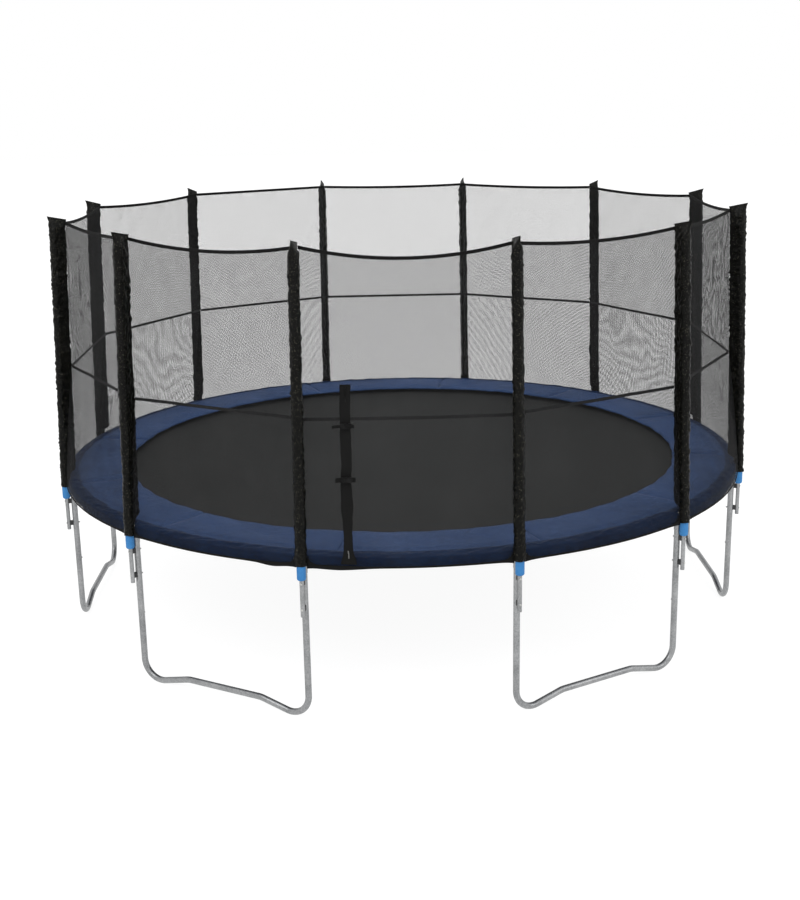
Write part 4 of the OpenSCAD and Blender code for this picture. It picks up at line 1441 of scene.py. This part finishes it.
def plate(outline, y_from, y_to, bevel=0.0008):
    """A rounded plate: (x, z) corners, pushed out along Y."""
    n = len(outline)
    points = [(x, y, z) for y in (y_from, y_to) for x, z in outline]
    mesh = bpy.data.meshes.new("plate")
    faces = [tuple(range(n)), tuple(range(2 * n - 1, n - 1, -1))]
    faces += [(k, k + n, (k + 1) % n + n, (k + 1) % n) for k in range(n)]
    mesh.from_pydata(points, [], faces)
    piece = link("plate", mesh, black_plastic)
    if signed_volume(mesh) < 0:
        mesh.flip_normals()
    rounder = piece.modifiers.new("round", "BEVEL")
    rounder.width, rounder.segments, rounder.limit_method = bevel, 2, "ANGLE"
    evaluated = piece.evaluated_get(bpy.context.evaluated_depsgraph_get())
    solid = bpy.data.meshes.new_from_object(evaluated)
    bpy.data.objects.remove(piece)
    return link("plate", solid, black_plastic)


def solid_piece(name, plates, spot, material, turn=Matrix.Identity(4)):
    """Plates joined to one flat-shaded piece, turned, and moved to a spot."""
    for part in plates:
        part.data.transform(Matrix.Translation(spot) @ turn)
    return flat_shaded(joined(name, plates, material))


def mirrored(corners):
    """Corners on the left, and after them the same on the right, to go round an outline."""
    return corners + [(-x, z) for x, z in corners[::-1]]


WING = [(0.0042, -0.009), (0.006, 0.004), (0.0055, 0.009)]
slider_plates = [plate(mirrored([(-x, z) for x, z in WING[::-1]]), y0, y0 + 0.0022)
                 for y0 in (-0.003, 0.0008)]
for corners, y_from, y_to, bevel in (
        ([(-0.0012, 0.009), (-0.0012, 0.002)], -0.0022, 0.0022, 0.0003),
        ([(-0.0022, -0.004), (-0.0022, -0.0075)], -0.0062, -0.002, 0.0005),
        ([(-0.0026, -0.005), (-0.003, -0.031), (-0.0018, -0.034)], -0.0062, -0.0044, 0.0005)):
    slider_plates.append(plate(mirrored(corners), y_from, y_to, bevel))
zip_turn = Vector((0, 0, 1)).rotation_difference(ZIP_UP).to_matrix().to_4x4()
slider_spot = ZIP_LOW + ZIP_UP * 0.022 + Vector((0, -0.0035, 0))
slider = solid_piece("slider", slider_plates, slider_spot, slider_zinc, zip_turn)
belongs(slider, "zip_slider_body", "zip_slider")
print("the slider has", len(slider.data.polygons), "faces")

# %% [markdown]
# ## The buckles
# Two side-release buckles hold the entrance shut across the zip. The half with the springy
# prongs draws out of the half with the opening, so they ride on different bodies. Each half
# has a short end of webbing, folded back and sewn. On the upper one the tail hangs loose.

# %% Build the buckles
BUCKLE_Z = {"lower": 1.42, "upper": 1.705}
BUCKLE_OUT = 0.019
WALL_Y = (-0.0092, -0.0018)
SHELL_EDGE = [(-0.006, -0.016), (0.005, -0.016), (0.0068, -0.0125), (0.0145, -0.0125),
              (0.016, -0.016), (0.028, -0.016), (0.032, -0.013)]
SHELL = SHELL_EDGE + [(x, -z) for x, z in SHELL_EDGE[::-1]]
SHELL_END = [(0.023, -0.0145), (0.0315, -0.0125), (0.0315, 0.0125), (0.023, 0.0145)]
PLUG_END = [(-0.026, -0.012), (-0.024, -0.014), (-0.008, -0.014), (-0.008, 0.014),
            (-0.024, 0.014), (-0.026, 0.012)]
ARM = [(-0.0085, 0.0055), (0.0155, 0.0062), (0.0185, 0.008), (0.0165, 0.0098),
       (0.0125, 0.0108), (0.011, 0.0088), (-0.0085, 0.0105)]
STRAPS = {("lower", "right"): (0.030, 0.05, 0.0, 0.025),
          ("lower", "left"): (-0.024, -0.06, 0.002, 0.025),
          ("upper", "right"): (0.030, 0.046, 0.004, 0.02),
          ("upper", "left"): (-0.024, -0.072, 0.004, 0.016)}


def tail(x_from, x_to, droop, seed, width):
    """A strap end from x_from to x_to, with a small wave, drooping towards its end."""
    t = np.linspace(0, 1, 14)[:, None]
    x = np.linspace(x_from, x_to, 14)[:, None]
    y = -0.0035 + 0.0015 * np.sin(t * 5 + seed) * t
    z = -droop * t**2 + np.linspace(-width / 2, width / 2, 5)
    grid = np.stack(np.broadcast_arrays(x, y, z), -1)
    place = np.stack(np.broadcast_arrays(x, np.linspace(0, width, 5)), -1)
    return sheet_mesh("tail", grid, place, 0.0018)


for label, z in BUCKLE_Z.items():
    spot = Vector(net_point(0, ZIP_U, z)[:]) - Vector((0, BUCKLE_OUT, 0))
    shell = [plate(SHELL, y0, y0 + 0.0022) for y0 in (-0.011, -0.0022)]
    shell += [plate([(x, z0), (x + 0.01, z0), (x + 0.01, z0 + 0.0034), (x, z0 + 0.0034)],
                    *WALL_Y, 0.0005) for x in (-0.0055, 0.0165) for z0 in (-0.0155, 0.0121)]
    shell.append(plate(SHELL_END, *WALL_Y, 0.0006))
    prongs = [plate(PLUG_END, -0.01, -0.001)]
    prongs += [plate([(x, side * z0) for x, z0 in ARM][::side], -0.008, -0.003, 0.0005)
               for side in (-1, 1)]
    socket = solid_piece(f"{label}_socket", shell, spot, buckle_plastic)
    plug = solid_piece(f"{label}_plug", prongs, spot, buckle_plastic)
    belongs(socket, "frame", f"{label}_buckle_socket")
    belongs(plug, f"{label}_buckle", f"{label}_buckle_plug")
    for end, body in (("right", "frame"), ("left", f"{label}_buckle")):
        x0, x1, droop, width = STRAPS[label, end]
        mesh = tail(x0, x1, droop, z * 9 + x0 * 50, width)
        mesh.transform(Matrix.Translation(spot))
        strap = link(f"{label}_strap_{end}", mesh, webbing)
        belongs(strap, body)
    print(label, "buckle:", len(socket.data.polygons) + len(plug.data.polygons), "faces")

# %% [markdown]
# ## The studio
# The floor is plain and white, with some light of its own so that it melts into the white room. The
# light is soft from all sides, with a little more from above and in front, so that the pad's top is
# lighter than its skirt; the skirt's darker navy is painted shade on top of that.

# %% Light it
world = bpy.data.worlds.new("studio")
bpy.context.scene.world = world
world.use_nodes = True
sky = world.node_tree.nodes["Background"]
sky.inputs["Color"].default_value = (1.0, 1.0, 1.0, 1)
sky.inputs["Strength"].default_value = 1.0

FLOOR = 60.0
floor_mesh = mesh_of("floor", [(-FLOOR, -FLOOR, 0), (FLOOR, -FLOOR, 0), (FLOOR, FLOOR, 0),
                               (-FLOOR, FLOOR, 0)], [(0, 1, 2, 3)], sharp=True)
shader = Shader("floor")
floor_finish = shader.finish(
    base_color=shader.mix(shader.noise(2.0, 3.0), (0.2, 0.2, 0.2), (0.22, 0.22, 0.22)),
    roughness=0.85, specular_ior_level=0.0, emission_color=(1, 1, 1, 1), emission_strength=0.91)
floor = link("floor", floor_mesh, floor_finish)
floor.location.z = -0.0005

LIGHTS = (("key", (-3.5, -6.5, 7.5), 5.0, 260), ("top", (0.5, 0.5, 8.0), 6.0, 260),
          ("fill", (6.5, -4.0, 4.0), 4.0, 90))
for name, spot, size, power in LIGHTS:
    lamp = bpy.data.lights.new(name, "AREA")
    lamp.size, lamp.energy = size, power
    light = bpy.data.objects.new(name, lamp)
    light.location = spot
    light.rotation_euler = (Vector((0, 0, 1)) - Vector(spot)).to_track_quat("-Z", "Y").to_euler()
    bpy.context.collection.objects.link(light)
bpy.context.scene.view_settings.view_transform = "Standard"
print("lights:", [name for name, *_ in LIGHTS])

# %% [markdown]
# ## Update the view layer
# The view layer is updated once more.

# %% Update the view layer
bpy.context.view_layer.update()
